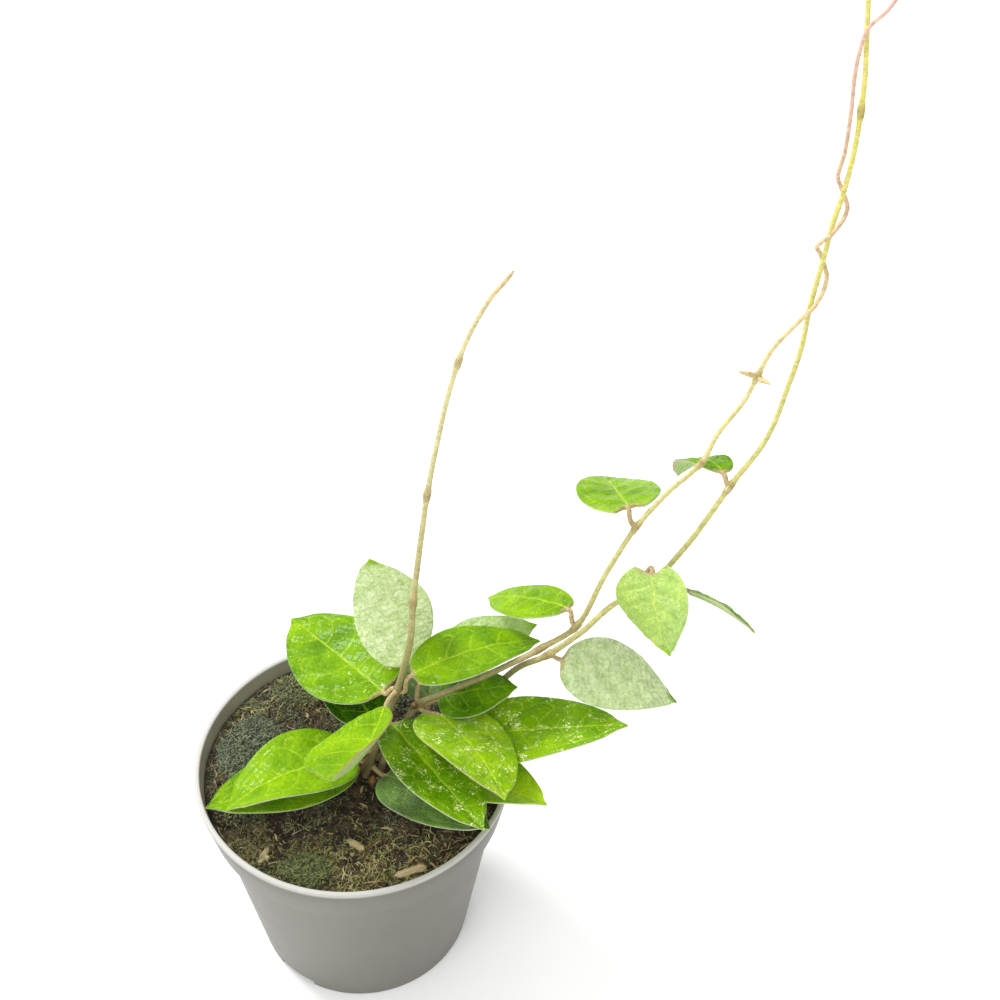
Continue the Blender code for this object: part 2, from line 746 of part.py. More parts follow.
def make_moss(name, x, y, radius, squash, parent):
    """A low pad of moss that lies on the soil."""
    steps = (0.25, 0.62, 0.88, 1.0)
    lower = []
    upper = []
    for step in steps:
        under = []
        over = []
        for i in range(MOSS_SEGMENTS):
            angle = 2 * math.pi * i / MOSS_SEGMENTS
            wave = 1 + 0.10 * math.sin(3 * angle + x) + 0.07 * math.sin(5 * angle + y)
            px = x + radius * step * wave * math.cos(angle)
            py = y + radius * step * wave * math.sin(angle) * squash
            ground = soil_height(px, py) + GAP
            under.append((px, py, ground))
            over.append((px, py, ground + MOSS_EDGE + MOSS_HEIGHT * math.sqrt(max(0.0, 1 - step**2))))
        lower.append(under)
        upper.append(over)
    bm = bmesh.new()
    bridge(bm, [*lower, *reversed(upper)])
    return finish(bm, name, "moss", parent)


def make_chip(name, x, y, length, width, turn_degrees, parent):
    """A flat splinter of bark with cut corners."""
    turn = math.radians(turn_degrees)
    outline = ((-0.5, -0.3), (-0.32, 0.42), (0.12, 0.5), (0.5, 0.18), (0.42, -0.36), (-0.1, -0.5))
    rings = []
    for lift, shrink in ((GAP, 0.92), (GAP + 0.4, 1.0), (GAP + BARK_THICKNESS, 0.84)):
        ring = []
        for along, across in outline:
            dx = along * length * shrink
            dy = across * width * shrink
            px = x + dx * math.cos(turn) - dy * math.sin(turn)
            py = y + dx * math.sin(turn) + dy * math.cos(turn)
            ring.append((px, py, soil_height(px, py) + lift))
        rings.append(ring)
    bm = bmesh.new()
    bridge(bm, rings)
    return finish(bm, name, "bark", parent)


def main():
    for obj in list(bpy.data.objects):
        bpy.data.objects.remove(obj)
    plant = bpy.data.objects.new("potted_hoya", None)
    bpy.context.scene.collection.objects.link(plant)

    stems = all_stems()
    make_pot(plant)
    make_soil(stems, plant)
    for name, pad in MOSS_PADS.items():
        make_moss(name, *pad, plant)
    for name, chip in BARK_CHIPS.items():
        make_chip(name, *chip, plant)
    for name, stem in stems.items():
        make_stem(name, stem, plant, "old_wood" if name == "dry_stem" else "vine")
    for name, leaf in LEAVES.items():
        make_leaf(name, leaf, stems, plant)
    for name, (stem_name, *bud) in BUDS.items():
        make_bud(name, stems[stem_name], *bud, plant)
    make_basal_bud(plant)


main()
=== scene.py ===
"""The looks of the potted hoya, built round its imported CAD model.

Shapes are worked out in millimetres, as in the CAD source, and MM turns them into Blender's metres.
Every stem and leaf follows the CAD's own points and blade poses, at a finer step.
"""

import math
from typing import NamedTuple

import bmesh
import bpy
import numpy as np
from mathutils import Matrix, Vector, noise


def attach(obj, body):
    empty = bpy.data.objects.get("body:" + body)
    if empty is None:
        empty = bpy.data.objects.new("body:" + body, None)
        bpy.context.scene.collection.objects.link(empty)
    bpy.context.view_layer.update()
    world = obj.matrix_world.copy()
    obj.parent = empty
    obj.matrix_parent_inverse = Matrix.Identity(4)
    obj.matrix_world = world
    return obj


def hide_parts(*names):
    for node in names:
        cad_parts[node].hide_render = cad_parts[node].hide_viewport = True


MM = 0.001
SEED = 11
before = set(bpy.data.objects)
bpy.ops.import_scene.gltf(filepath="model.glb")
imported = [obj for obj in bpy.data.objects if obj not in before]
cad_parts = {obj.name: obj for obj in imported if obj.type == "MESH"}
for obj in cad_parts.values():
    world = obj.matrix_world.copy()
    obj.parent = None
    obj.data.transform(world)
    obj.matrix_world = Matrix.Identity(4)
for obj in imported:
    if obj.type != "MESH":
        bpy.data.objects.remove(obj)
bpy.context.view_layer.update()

# Camera: the photograph's viewing angle
CAMERA_PLACE = (0.0527, -0.3433, 0.5402)
CAMERA_PITCH = 42.08  # degrees below the horizon
CAMERA_ROLL = 1.37
CAMERA_LENS = 52.5
SENSOR = 36.0

# Light of the studio
SKY_HORIZON = 0.42
SKY_CEILING = 1.25
FLOOR_HALF = 4.0  # metres
AIM = (0.02, 0.0, 0.12)  # where the lamps point, in metres

# Pot, as in the CAD
RIM_RADIUS = 60.0
RIM_HEIGHT = 97.0
BAND_BOTTOM_RADIUS = 57.0
BAND_BOTTOM = 80.0
LEDGE_RADIUS = 54.0
LEDGE_BOTTOM = 76.5
BASE_RADIUS = 42.8
WALL = 1.3
FLOOR = 1.4
POT_SEGMENTS = 180
POCKET_ANGLES = (-125.0, -5.0, 115.0)
POCKET_INNER = 31.5
POCKET_WIDTH = 17.0
POCKET_HEIGHT = 3.8
POCKET_WALL = 1.3
POCKET_OUTER = 40.5
DRAIN_RADIUS = 2.6
DRAIN_PLACE = 36.3

# Soil, as in the CAD, with its own relief
SOIL_RADIUS = 57.0
SOIL_EDGE = 86.2
SOIL_RISE = 2.4
BANK_RISE = 4.5
BANK_TOWARDS = (-0.9, 0.45)
BANK_START = 15.0
BANK_END = 52.0
SOIL_TOP = 88.0
SOIL_BOTTOM = 5.8
SOIL_GAP = 0.3
SOIL_RINGS = 150
SOIL_SPOKES = 300

# Litter on the soil: how many bits are scattered, and how far from the middle
CRUMBS = 4600
FIBRES = 15000
SPLINTERS = 700
LOOSE_SHOOTS = 14000
LITTER_EDGE = 55.5
STRAND_EDGE = 56.0

# Leaves
LEAF_THICKNESS = 1.2
LEAF_RIM = 0.48
PETIOLE_RADIUS = 0.85
STALK_BEND = 0.45
LEAF_ROWS = 130
LEAF_COLUMNS = 61
RIM_STEPS = 4
PETIOLE_RINGS = 16
OUTLINE_POWERS = (0.5, 0.82)

# Stems
STEM_SIDES = 16
STEM_STEP = 0.9
STEM_SPACING = 8.0
FOOT_DEPTH = 14.0
NODE_LENGTH = 2.6
TAPER = 0.4
TWINE_RADIUS = 2.75


class Stem(NamedTuple):
    """A stem as points to pass through, its radius at each end, and the indices of its swollen nodes."""

    points: tuple
    start_radius: float
    end_radius: float
    nodes: tuple
    swelling: float


class Leaf(NamedTuple):
    """A leaf: where it grows from, and the pose and shape of its blade."""

    stem: str
    node: int
    base: tuple
    tip: tuple
    width: float
    roll: float = 0.0
    arch: float = 4.0
    fold: float = 8.0
    twist: float = 0.0
    lobe: float = 0.0
    powers: tuple = OUTLINE_POWERS


TENDRIL = Stem(
    points=(
        (4.0, -1.4, SOIL_TOP - FOOT_DEPTH),
        (4.0, -1.4, SOIL_TOP),
        (5.5, -1.2, 95.0),
        (7.5, -0.6, 103.0),
        (12.5, 1.5, 119.0),
        (17.0, 4.0, 132.0),
        (20.2, 5.0, 146.5),
        (22.5, 6.0, 160.0),
        (23.5, 7.0, 175.6),
        (25.0, 8.0, 190.0),
        (27.0, 9.0, 207.5),
        (29.0, 10.0, 223.0),
        (31.5, 11.0, 238.7),
        (35.5, 12.0, 260.4),
        (39.0, 13.0, 274.3),
        (42.5, 14.0, 284.2),
        (48.3, 15.0, 296.2),
        (52.5, 16.0, 301.6),
        (55.0, 16.0, 305.6),
    ),
    start_radius=2.2,
    end_radius=0.7,
    nodes=(2, 3, 4, 5, 8, 11, 14),
    swelling=0.38,
)

STRAIGHT_VINE = Stem(
    points=(
        (8.5, 6.5, SOIL_TOP - FOOT_DEPTH),
        (8.5, 6.5, SOIL_TOP),
        (17.0, 10.0, 96.0),
        (29.0, 13.0, 103.0),
        (39.0, 18.0, 108.0),
        (47.0, 21.0, 114.0),
        (53.5, 21.0, 118.0),
        (61.5, 15.5, 133.5),
        (71.2, 7.6, 149.2),
        (82.5, 9.4, 159.5),
        (93.5, 12.4, 171.0),
        (105.0, 12.0, 180.5),
        (111.5, 12.5, 191.5),
        (119.5, 14.0, 206.0),
        (128.0, 16.0, 224.0),
        (138.0, 20.0, 241.5),
        (143.3, 24.5, 262.0),
        (145.5, 27.0, 274.0),
        (145.8, 28.0, 287.0),
        (147.2, 29.0, 302.0),
        (148.5, 30.0, 316.5),
        (149.8, 30.5, 325.0),
        (150.6, 31.0, 336.5),
        (150.4, 31.5, 350.5),
        (149.6, 32.0, 361.5),
        (147.6, 32.5, 376.0),
        (145.6, 33.0, 391.0),
        (144.2, 33.0, 403.0),
        (144.6, 32.0, 410.0),
    ),
    start_radius=1.7,
    end_radius=0.7,
    nodes=(3, 8, 11, 14, 23),
    swelling=0.35,
)

# The twining vine's free part, and then (height, angle round the straight vine) up its twining part
TWINING_START = (
    (9.4, 0.8, SOIL_TOP - FOOT_DEPTH),
    (9.4, 0.8, SOIL_TOP),
    (14.5, 4.0, 103.0),
    (24.0, 8.0, 119.0),
    (32.3, 8.0, 125.3),
    (46.9, 9.0, 134.2),
    (59.5, 9.6, 142.8),
    (68.5, 12.2, 147.2),
    (81.0, 14.2, 157.2),
    (89.5, 15.0, 182.0),
    (99.0, 17.5, 203.5),
    (109.0, 19.5, 218.5),
    (118.5, 20.3, 230.5),
    (122.3, 22.0, 240.5),
    (129.5, 22.5, 255.0),
    (132.5, 23.5, 264.0),
    (135.8, 24.0, 274.0),
)
TWINING_TURNS = (
    (284.0, 215.0),
    (290.0, 290.0),
    (297.0, 360.0),
    (303.0, 450.0),
    (308.0, 540.0),
    (314.0, 630.0),
    (320.0, 720.0),
    (325.0, 810.0),
    (330.0, 880.0),
    (338.0, 910.0),
    (350.0, 900.0),
    (362.0, 905.0),
    (370.0, 950.0),
    (375.5, 990.0),
)
TWINING_END = ((151.5, 28.5, 381.0), (154.5, 29.5, 386.5), (155.5, 30.0, 390.0))
TWINING_NODES = (3, 7, 8, 10, 12, 15)

DRY_STEM = Stem(
    points=(
        (0.6, -5.2, SOIL_TOP - 0.5 * FOOT_DEPTH),
        (0.6, -5.2, 89.0),
        (1.6, -5.6, 95.0),
        (4.4, -5.2, 100.0),
        (5.4, -6.4, 104.0),
        (3.6, -7.6, 105.5),
    ),
    start_radius=0.9,
    end_radius=0.6,
    nodes=(),
    swelling=0.0,
)

LEAVES = {
    "leaf_01": Leaf(
        "tendril", 5, (12.0, 5.0, 129.0), (-28.0, 49.0, 120.5), 38.0,
        roll=-10.0, arch=1.0, fold=4.0, twist=-6.0,
    ),
    "leaf_02": Leaf(
        "tendril", 5, (18.5, 14.8, 132.0), (7.5, 19.0, 184.0), 30.0,
        roll=-74.0, arch=-6.5, fold=-7.0, twist=-28.0,
    ),
    "leaf_03": Leaf(
        "tendril", 5, (22.0, 4.5, 139.5), (69.0, 22.5, 140.0), 27.5,
        roll=-8.0, arch=4.0, fold=5.0, twist=-8.0,
    ),
    "leaf_04": Leaf(
        "twining_vine", 3, (31.0, 19.0, 129.0), (68.0, 34.5, 136.0), 25.0, roll=-4.0, arch=3.0, fold=5.0,
    ),
    "leaf_05": Leaf(
        "twining_vine", 8, (78.0, 17.5, 162.5), (49.0, 42.0, 142.0), 21.0,
        roll=-2.0, arch=2.5, fold=-6.0, twist=-18.0,
    ),
    "leaf_06": Leaf(
        "straight_vine", 8, (76.0, 10.5, 143.5), (121.0, 13.0, 118.0), 27.0,
        roll=18.0, arch=3.5, fold=3.0, twist=-60.0,
    ),
    "leaf_07": Leaf(
        "straight_vine", 11, (105.0, 7.5, 192.0), (112.0, -9.0, 168.5), 37.0,
        roll=78.0, arch=1.5, fold=5.0, twist=30.0, lobe=0.12,
    ),
    "leaf_08": Leaf(
        "straight_vine", 11, (119.0, 12.0, 179.0), (141.0, -2.0, 173.5), 20.0,
        roll=-47.0, arch=1.5, fold=3.0,
    ),
    "leaf_09": Leaf(
        "twining_vine", 10, (96.0, 20.5, 209.5), (90.0, 62.0, 187.0), 29.0,
        roll=0.0, arch=1.0, fold=5.0, twist=20.0, lobe=0.12,
    ),
    "leaf_10": Leaf(
        "straight_vine", 14, (126.0, 20.5, 226.0), (114.5, 42.0, 205.5), 17.0,
        roll=12.0, arch=5.0, fold=5.0, twist=-6.0,
    ),
    "leaf_11": Leaf(
        "tendril", 5, (13.0, -1.5, 129.5), (-2.0, -42.0, 138.5), 36.0,
        roll=34.0, arch=-4.0, fold=28.0, twist=9.0, powers=(0.9, 0.5),
    ),
    "leaf_12": Leaf(
        "tendril", 3, (1.5, -4.0, 102.5), (-44.0, -29.0, 101.5), 33.0,
        roll=6.0, arch=6.0, fold=14.0, twist=18.0,
    ),
    "leaf_13": Leaf(
        "tendril", 2, (1.0, -1.0, 95.5), (-52.0, -26.0, 99.0), 32.0, roll=5.0, arch=0.0, fold=9.0,
    ),
    "leaf_14": Leaf(
        "tendril", 4, (14.5, -2.5, 121.0), (50.0, -45.5, 117.0), 32.0,
        roll=-14.0, arch=0.0, fold=13.0, twist=12.0,
    ),
    "leaf_15": Leaf(
        "twining_vine", 3, (32.0, 4.0, 118.5), (57.0, -39.5, 126.5), 35.0,
        roll=-22.0, arch=3.0, fold=4.0, twist=-16.0, lobe=0.06,
    ),
    "leaf_16": Leaf(
        "straight_vine", 3, (39.0, 2.0, 108.5), (101.0, -7.0, 128.5), 33.0,
        roll=-4.0, arch=1.0, fold=4.0, twist=-14.0,
    ),
    "leaf_17": Leaf(
        "twining_vine", 3, (31.0, 10.5, 119.5), (61.0, 12.5, 125.5), 25.0,
        roll=-6.0, arch=1.5, fold=-3.0, twist=-6.0,
    ),
    "leaf_18": Leaf(
        "tendril", 2, (11.5, -5.5, 93.8), (52.0, -33.0, 100.3), 31.0,
        roll=-4.0, arch=2.0, fold=8.0, twist=8.0,
    ),
    "leaf_19": Leaf(
        "straight_vine", 2, (29.0, 2.0, 102.0), (72.0, -32.0, 114.0), 29.0,
        roll=-4.0, arch=-2.0, fold=8.0, twist=-34.0,
    ),
    "leaf_20": Leaf(
        "tendril", 4, (8.0, 5.0, 110.0), (-12.0, 38.0, 107.0), 26.0, roll=0.0, arch=3.0, fold=6.0,
    ),
    "leaf_21": Leaf(
        "straight_vine", 3, (27.0, 18.5, 107.0), (31.0, 52.0, 110.0), 27.0, roll=0.0, arch=4.0, fold=6.0,
    ),
}

# Buds and stubs: stem, node, direction, length, radius
BUDS = {
    "shoot_bud_1": ("twining_vine", 15, (-0.9, -0.2, 0.4), 6.0, 0.8),
    "shoot_bud_2": ("twining_vine", 15, (0.6, -0.7, 0.3), 5.0, 0.8),
    "vine_bud": ("straight_vine", 14, (-0.3, -0.8, 0.6), 4.5, 0.8),
    "old_stub": ("twining_vine", 3, (0.3, -0.3, 0.9), 7.0, 1.0),
}
BASAL_BUD_PLACE = (6.8, -5.6)

# Moss pads: centre x, y, radius, squash along y
MOSS_PADS = {
    "moss_pad_left": (-40.0, 6.0, 13.0, 1.25),
    "moss_pad_back": (-24.0, 38.0, 11.0, 0.75),
    "moss_pad_front": (-14.0, -44.0, 9.5, 0.75),
    "moss_pad_right": (36.0, 26.0, 11.0, 1.1),
}
MOSS_HEIGHT = 1.9

# Bark chips: centre x, y, length, width, turn in degrees
BARK_CHIPS = {
    "bark_chip_1": (24.0, -43.0, 12.0, 4.5, 20.0),
    "bark_chip_2": (3.0, -33.0, 8.0, 3.6, -35.0),
    "bark_chip_3": (-30.0, -38.0, 7.0, 3.2, 70.0),
}
BARK_THICKNESS = 1.6

# How each leaf looks: lightness from dark to bright (the leaf's own tone, and painted shade on the leaves
# that lie in deep shade), white flecks, a painted sheen standing in for glossy reflection, blush of the rim
LEAF_LOOKS = {
    "leaf_01": (0.62, 0.55, 0.00, 0.10),
    "leaf_02": (0.75, 0.50, 1.00, 0.00),
    "leaf_03": (0.64, 0.30, 0.00, 0.00),
    "leaf_04": (0.66, 0.30, 0.50, 0.00),
    "leaf_05": (0.70, 0.30, 0.00, 0.10),
    "leaf_06": (0.50, 0.45, 0.78, 0.00),
    "leaf_07": (0.82, 0.60, 0.32, 0.00),
    "leaf_08": (0.58, 0.20, 0.00, 0.30),
    "leaf_09": (0.72, 0.30, 0.00, 0.20),
    "leaf_10": (0.50, 0.20, 0.00, 0.50),
    "leaf_11": (0.76, 0.30, 0.00, 0.85),
    "leaf_12": (0.70, 0.25, 0.00, 0.10),
    "leaf_13": (0.62, 0.15, 0.00, 0.00),
    "leaf_14": (0.58, 1.00, 0.00, 0.10),
    "leaf_15": (0.78, 1.00, 0.00, 0.60),
    "leaf_16": (0.68, 1.00, 0.00, 0.00),
    "leaf_17": (0.44, 0.20, 0.00, 0.00),
    "leaf_18": (0.32, 0.35, 0.15, 0.00),
    "leaf_19": (0.84, 0.45, 0.00, 0.20),
    # leaf_20 and leaf_21 lie in deep shade under other leaves: their low lightness is painted shade
    "leaf_20": (0.24, 0.10, 0.00, 0.00),
    "leaf_21": (0.24, 0.10, 0.20, 0.00),
}


def linear(red, green, blue):
    """A linear colour from display values of 0 to 255."""
    made = []
    for value in (red, green, blue):
        share = value / 255
        made.append(share / 12.92 if share <= 0.04045 else ((share + 0.055) / 1.055) ** 2.4)
    return np.array(made)


# ---------------------------------------------------------------- meshes


def new_piece(name, points, faces, material, replaces=None, layers=None, smooth=True):
    """A mesh object from points in mm and arrays of faces, which rides on the body and stands for a node."""
    points = np.asarray(points, float)
    counts = np.concatenate([np.full(len(group), group.shape[1]) for group in faces])
    corners = np.concatenate([group.ravel() for group in faces])
    mesh = bpy.data.meshes.new(name)
    mesh.vertices.add(len(points))
    mesh.vertices.foreach_set("co", (points * MM).ravel())
    mesh.loops.add(len(corners))
    mesh.loops.foreach_set("vertex_index", corners)
    mesh.polygons.add(len(counts))
    mesh.polygons.foreach_set("loop_start", np.concatenate([[0], np.cumsum(counts)[:-1]]))
    mesh.update(calc_edges=True)
    mesh.validate()
    for key, values in (layers or {}).items():
        values = np.asarray(values, np.float32)
        if values.ndim == 1:
            mesh.attributes.new(key, "FLOAT", "POINT").data.foreach_set("value", values)
        else:
            colours = np.concatenate([values, np.ones((len(values), 1), np.float32)], axis=1)
            mesh.attributes.new(key, "FLOAT_COLOR", "POINT").data.foreach_set("color", colours.ravel())
    if smooth:
        mesh.shade_smooth()
    obj = bpy.data.objects.new(name, mesh)
    bpy.context.scene.collection.objects.link(obj)
    mesh.materials.append(material)
    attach(obj, "root")
    if replaces:
        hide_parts(replaces)
    return obj


def ring_faces(rings, sides, first=0, caps=True):
    """Faces of a tube of rings whose points are numbered ring by ring."""
    row = np.arange(rings - 1)[:, None] * sides
    i = np.arange(sides)[None, :]
    j = (i + 1) % sides
    quads = np.stack([row + i, row + j, row + sides + j, row + sides + i], axis=-1).reshape(-1, 4)
    groups = [quads + first]
    if caps:
        groups.append(np.arange(sides)[None, ::-1] + first)
        groups.append(np.arange(sides)[None, :] + (rings - 1) * sides + first)
    return groups


def smooth_step(low, high, value):
    """0 up to low, 1 from high on, and a smooth rise between. low may be the larger one."""
    share = np.clip((np.asarray(value, float) - low) / (high - low), 0, 1)
    return share * share * (3 - 2 * share)


def rough(points, scale, octaves, seed):
    """Fractal noise at each point, about -1 to 1. scale is the size of its largest lumps in mm."""
    offset = Vector((seed * 17.3, seed * 5.1, seed * 9.7))
    return np.array([noise.fractal(Vector(p) / scale + offset, 0.9, 2.1, octaves) for p in points])


def unit(vector):
    """The vector, or each of an array of vectors, at length 1."""
    return vector / np.linalg.norm(vector, axis=-1, keepdims=True)


def circle(count):
    """Angles of equal steps round a circle."""
    return 2 * np.pi * np.arange(count) / count


def circle_points(count):
    """Points of a circle of radius 1, one at each of its equal steps: (count, 2)."""
    return np.stack([np.cos(circle(count)), np.sin(circle(count))], axis=1)


def on_plane(x, y):
    """Points of the plane z = 0."""
    return np.stack([x, y, np.zeros_like(x)], axis=1)


# ---------------------------------------------------------------- materials


class Shade:
    """Builds one material's nodes. Its methods take display colours and give back sockets."""

    def __init__(self, name):
        self.material = bpy.data.materials.new(name)
        self.material.use_nodes = True
        self.tree = self.material.node_tree
        self.shader = self.tree.nodes["Principled BSDF"]
        place = self.node("ShaderNodeTexCoord").outputs["Object"]
        scale = self.node("ShaderNodeMapping", {"Vector": place, "Scale": (1000.0, 1000.0, 1000.0)})
        self.place = scale.outputs["Vector"]  # millimetres

    def node(self, kind, inputs=None, **settings):
        made = self.tree.nodes.new(kind)
        for key, value in settings.items():
            setattr(made, key, value)
        for key, value in (inputs or {}).items():
            self.feed(made.inputs[key], value)
        return made

    def feed(self, socket, value):
        if isinstance(value, bpy.types.NodeSocket):
            self.tree.links.new(value, socket)
        elif socket.type == "RGBA":
            socket.default_value = (*linear(*value), 1.0)
        else:
            socket.default_value = value

    def layer(self, name, output="Fac"):
        return self.node("ShaderNodeAttribute", attribute_name=name).outputs[output]

    def noise(self, size, detail=3.0, roughness=0.55, place=None, distortion=0.0):
        """Noise whose lumps are about size mm."""
        values = {"Vector": place or self.place, "Scale": 1.0 / size, "Detail": detail}
        values.update({"Roughness": roughness, "Distortion": distortion})
        return self.node("ShaderNodeTexNoise", values).outputs["Fac"]

    def cells(self, size, feature="F1", randomness=1.0, place=None, output="Distance"):
        values = {"Vector": place or self.place, "Scale": 1.0 / size, "Randomness": randomness}
        return self.node("ShaderNodeTexVoronoi", values, feature=feature).outputs[output]

    def range(self, value, low, high, start=0.0, end=1.0):
        values = {"Value": value, "From Min": low, "From Max": high, "To Min": start, "To Max": end}
        return self.node("ShaderNodeMapRange", values).outputs["Result"]

    def calc(self, operation, first, second, third=0.0):
        made = self.node("ShaderNodeMath", operation=operation)
        for socket, value in zip(made.inputs, (first, second, third)):
            self.feed(socket, value)
        return made.outputs[0]

    def times(self, first, second):
        return self.calc("MULTIPLY", first, second)

    def mix(self, share, first, second, blend="MIX"):
        made = self.node("ShaderNodeMix", data_type="RGBA", blend_type=blend)
        self.feed(made.inputs[0], share)
        self.feed(made.inputs[6], first)
        self.feed(made.inputs[7], second)
        return made.outputs[2]

    def ramp(self, value, *stops):
        made = self.node("ShaderNodeValToRGB", {"Fac": value})
        elements = made.color_ramp.elements
        while len(elements) < len(stops):
            elements.new(0.5)
        for element, (position, colour) in zip(elements, stops):
            element.position = position
            element.color = (*linear(*colour), 1.0)
        return made.outputs["Color"]

    def bump(self, height, distance, strength=1.0):
        values = {"Height": height, "Distance": distance * MM, "Strength": strength}
        return self.node("ShaderNodeBump", values).outputs["Normal"]

    def finish(self, **inputs):
        for key, value in inputs.items():
            self.feed(self.shader.inputs[key.replace("_", " ")], value)
        return self.material


def leaf_material():
    """The leaves: green with pale veins and white flecks above, a painted sheen on some, and paler on the rim
    and below.
    """
    shade = Shade("leaf_blade")
    light, under = shade.layer("light"), shade.layer("under")
    vein, rim, stalk = shade.layer("vein"), shade.layer("rim"), shade.layer("stalk")
    broad = shade.noise(13.0, 4.0, 0.6)
    fine = shade.noise(0.8, 4.0, 0.7)
    # each leaf's lightness sets its tone, and the veins follow it; on leaves in deep shade that lightness is
    # painted shade
    tone = shade.calc("MULTIPLY_ADD", broad, 0.95, light)
    tone = shade.calc("MULTIPLY_ADD", fine, 0.30, shade.calc("SUBTRACT", tone, 0.625))
    blade = shade.ramp(
        tone,
        (0.0, (20, 54, 3)),
        (0.25, (46, 90, 0)),
        (0.5, (90, 138, 0)),
        (0.75, (128, 172, 0)),
        (1.0, (162, 198, 8)),
    )
    web = shade.range(shade.cells(2.1, "DISTANCE_TO_EDGE"), 0.0, 0.09, 1.0, 0.0)
    blade = shade.mix(shade.times(web, 0.16), blade, (160, 204, 24))
    # painted sheen: a pale cast over chosen leaves, broken up by noise, stands in for the glossy reflection
    # they show at a glancing angle, and the veins under it are made paler too
    sheen_breakup = shade.range(shade.noise(3.0, 6.0, 0.8, distortion=0.8), 0.36, 0.60)
    painted_sheen = shade.times(shade.layer("painted_sheen"), shade.calc("MULTIPLY_ADD", sheen_breakup, 0.50, 0.42))
    blade = shade.mix(painted_sheen, blade, (238, 250, 202))
    pale_vein = shade.mix(light, (96, 146, 12), (204, 232, 56))
    pale_vein = shade.mix(painted_sheen, pale_vein, (240, 248, 210))
    blade = shade.mix(shade.times(vein, 0.78), blade, pale_vein)
    spots = shade.noise(1.0, 2.0, 0.6, distortion=1.2)
    patch = shade.range(shade.noise(6.0, 3.0, 0.6, distortion=0.5), 0.42, 0.64)
    level = shade.times(shade.layer("fleck"), shade.calc("MULTIPLY_ADD", patch, 0.15, 0.055))
    limit = shade.calc("SUBTRACT", 0.745, level)
    flecks = shade.range(shade.calc("SUBTRACT", spots, limit), 0.0, 0.02)
    blade = shade.mix(shade.times(flecks, 0.90), blade, (232, 240, 166))
    pale = shade.ramp(fine, (0.25, (150, 186, 96)), (0.75, (184, 208, 138)))
    pale = shade.mix(shade.times(vein, 0.5), pale, (206, 214, 150))
    edge = shade.mix(shade.layer("blush"), (222, 228, 196), (186, 134, 100))
    pale = shade.mix(shade.times(rim, 0.9), pale, edge)
    colour = shade.mix(under, blade, pale)
    skin = shade.ramp(fine, (0.3, (164, 142, 98)), (0.7, (208, 188, 142)))
    colour = shade.mix(stalk, colour, skin)
    gloss = shade.range(shade.noise(2.2, 4.0), 0.3, 0.7, 0.30, 0.46)
    gloss = shade.calc("MULTIPLY_ADD", under, 0.25, gloss)
    relief = shade.calc("MULTIPLY_ADD", web, -1.4, shade.times(fine, 0.5))
    return shade.finish(
        Base_Color=colour, Roughness=gloss, Normal=shade.bump(relief, 0.26, 0.6),
        Specular_IOR_Level=0.07, Coat_Weight=0.14, Coat_Roughness=0.14,
        Subsurface_Weight=0.08, Subsurface_Scale=0.6 * MM, Subsurface_Radius=(0.6, 1.0, 0.1),
    )


def stem_material():
    """Bark or green skin: the tone layer gives the colour and wood says how corky it is."""
    shade = Shade("stem_skin")
    wood = shade.layer("wood")
    tone = shade.layer("tone", "Color")
    fine = shade.noise(0.7, 5.0, 0.7)
    streak = shade.noise(1.6, 4.0, 0.65, distortion=0.8)
    colour = shade.mix(shade.range(streak, 0.35, 0.7, 0.0, 0.5), tone, (120, 98, 60), "MULTIPLY")
    colour = shade.mix(shade.range(fine, 0.5, 0.75, 0.0, 0.35), colour, (226, 214, 170))
    lenticel = shade.range(shade.cells(2.4), 0.10, 0.16, 1.0, 0.0)
    lenticel = shade.times(lenticel, shade.times(wood, 0.6))
    colour = shade.mix(lenticel, colour, (206, 190, 150))
    gloss = shade.calc("MULTIPLY_ADD", wood, 0.3, shade.range(fine, 0.3, 0.7, 0.38, 0.5))
    relief = shade.calc("MULTIPLY_ADD", streak, shade.calc("MULTIPLY_ADD", wood, 0.8, 0.2), lenticel)
    return shade.finish(Base_Color=colour, Roughness=gloss, Normal=shade.bump(relief, 0.25, 0.8))


def pot_material():
    """Dull grey plastic, with painted light: the top of the rim carries a painted highlight and the inner
    wall is painted lighter, standing in for the light that falls on them.
    """
    shade = Shade("pot_plastic")
    mottle = shade.noise(14.0, 3.0)
    grain = shade.noise(0.45, 3.0, 0.7)
    colour = shade.ramp(mottle, (0.3, (107, 104, 96)), (0.7, (116, 113, 104)))
    # painted light: a lighter copy of the plastic for the inner wall, standing in for the light on it
    inner = shade.ramp(mottle, (0.3, (158, 154, 134)), (0.7, (172, 167, 146)))
    colour = shade.mix(shade.layer("inside"), colour, inner)
    # painted highlight: the top of the rim made pale, standing in for the light it catches
    colour = shade.mix(shade.layer("lip_highlight"), colour, (186, 184, 178))
    dust = shade.range(shade.noise(3.0, 5.0, 0.7), 0.58, 0.72, 0.0, 0.18)
    colour = shade.mix(dust, colour, (140, 136, 126))
    gloss = shade.range(mottle, 0.3, 0.7, 0.40, 0.50)
    return shade.finish(Base_Color=colour, Roughness=gloss, Normal=shade.bump(grain, 0.05, 0.5))


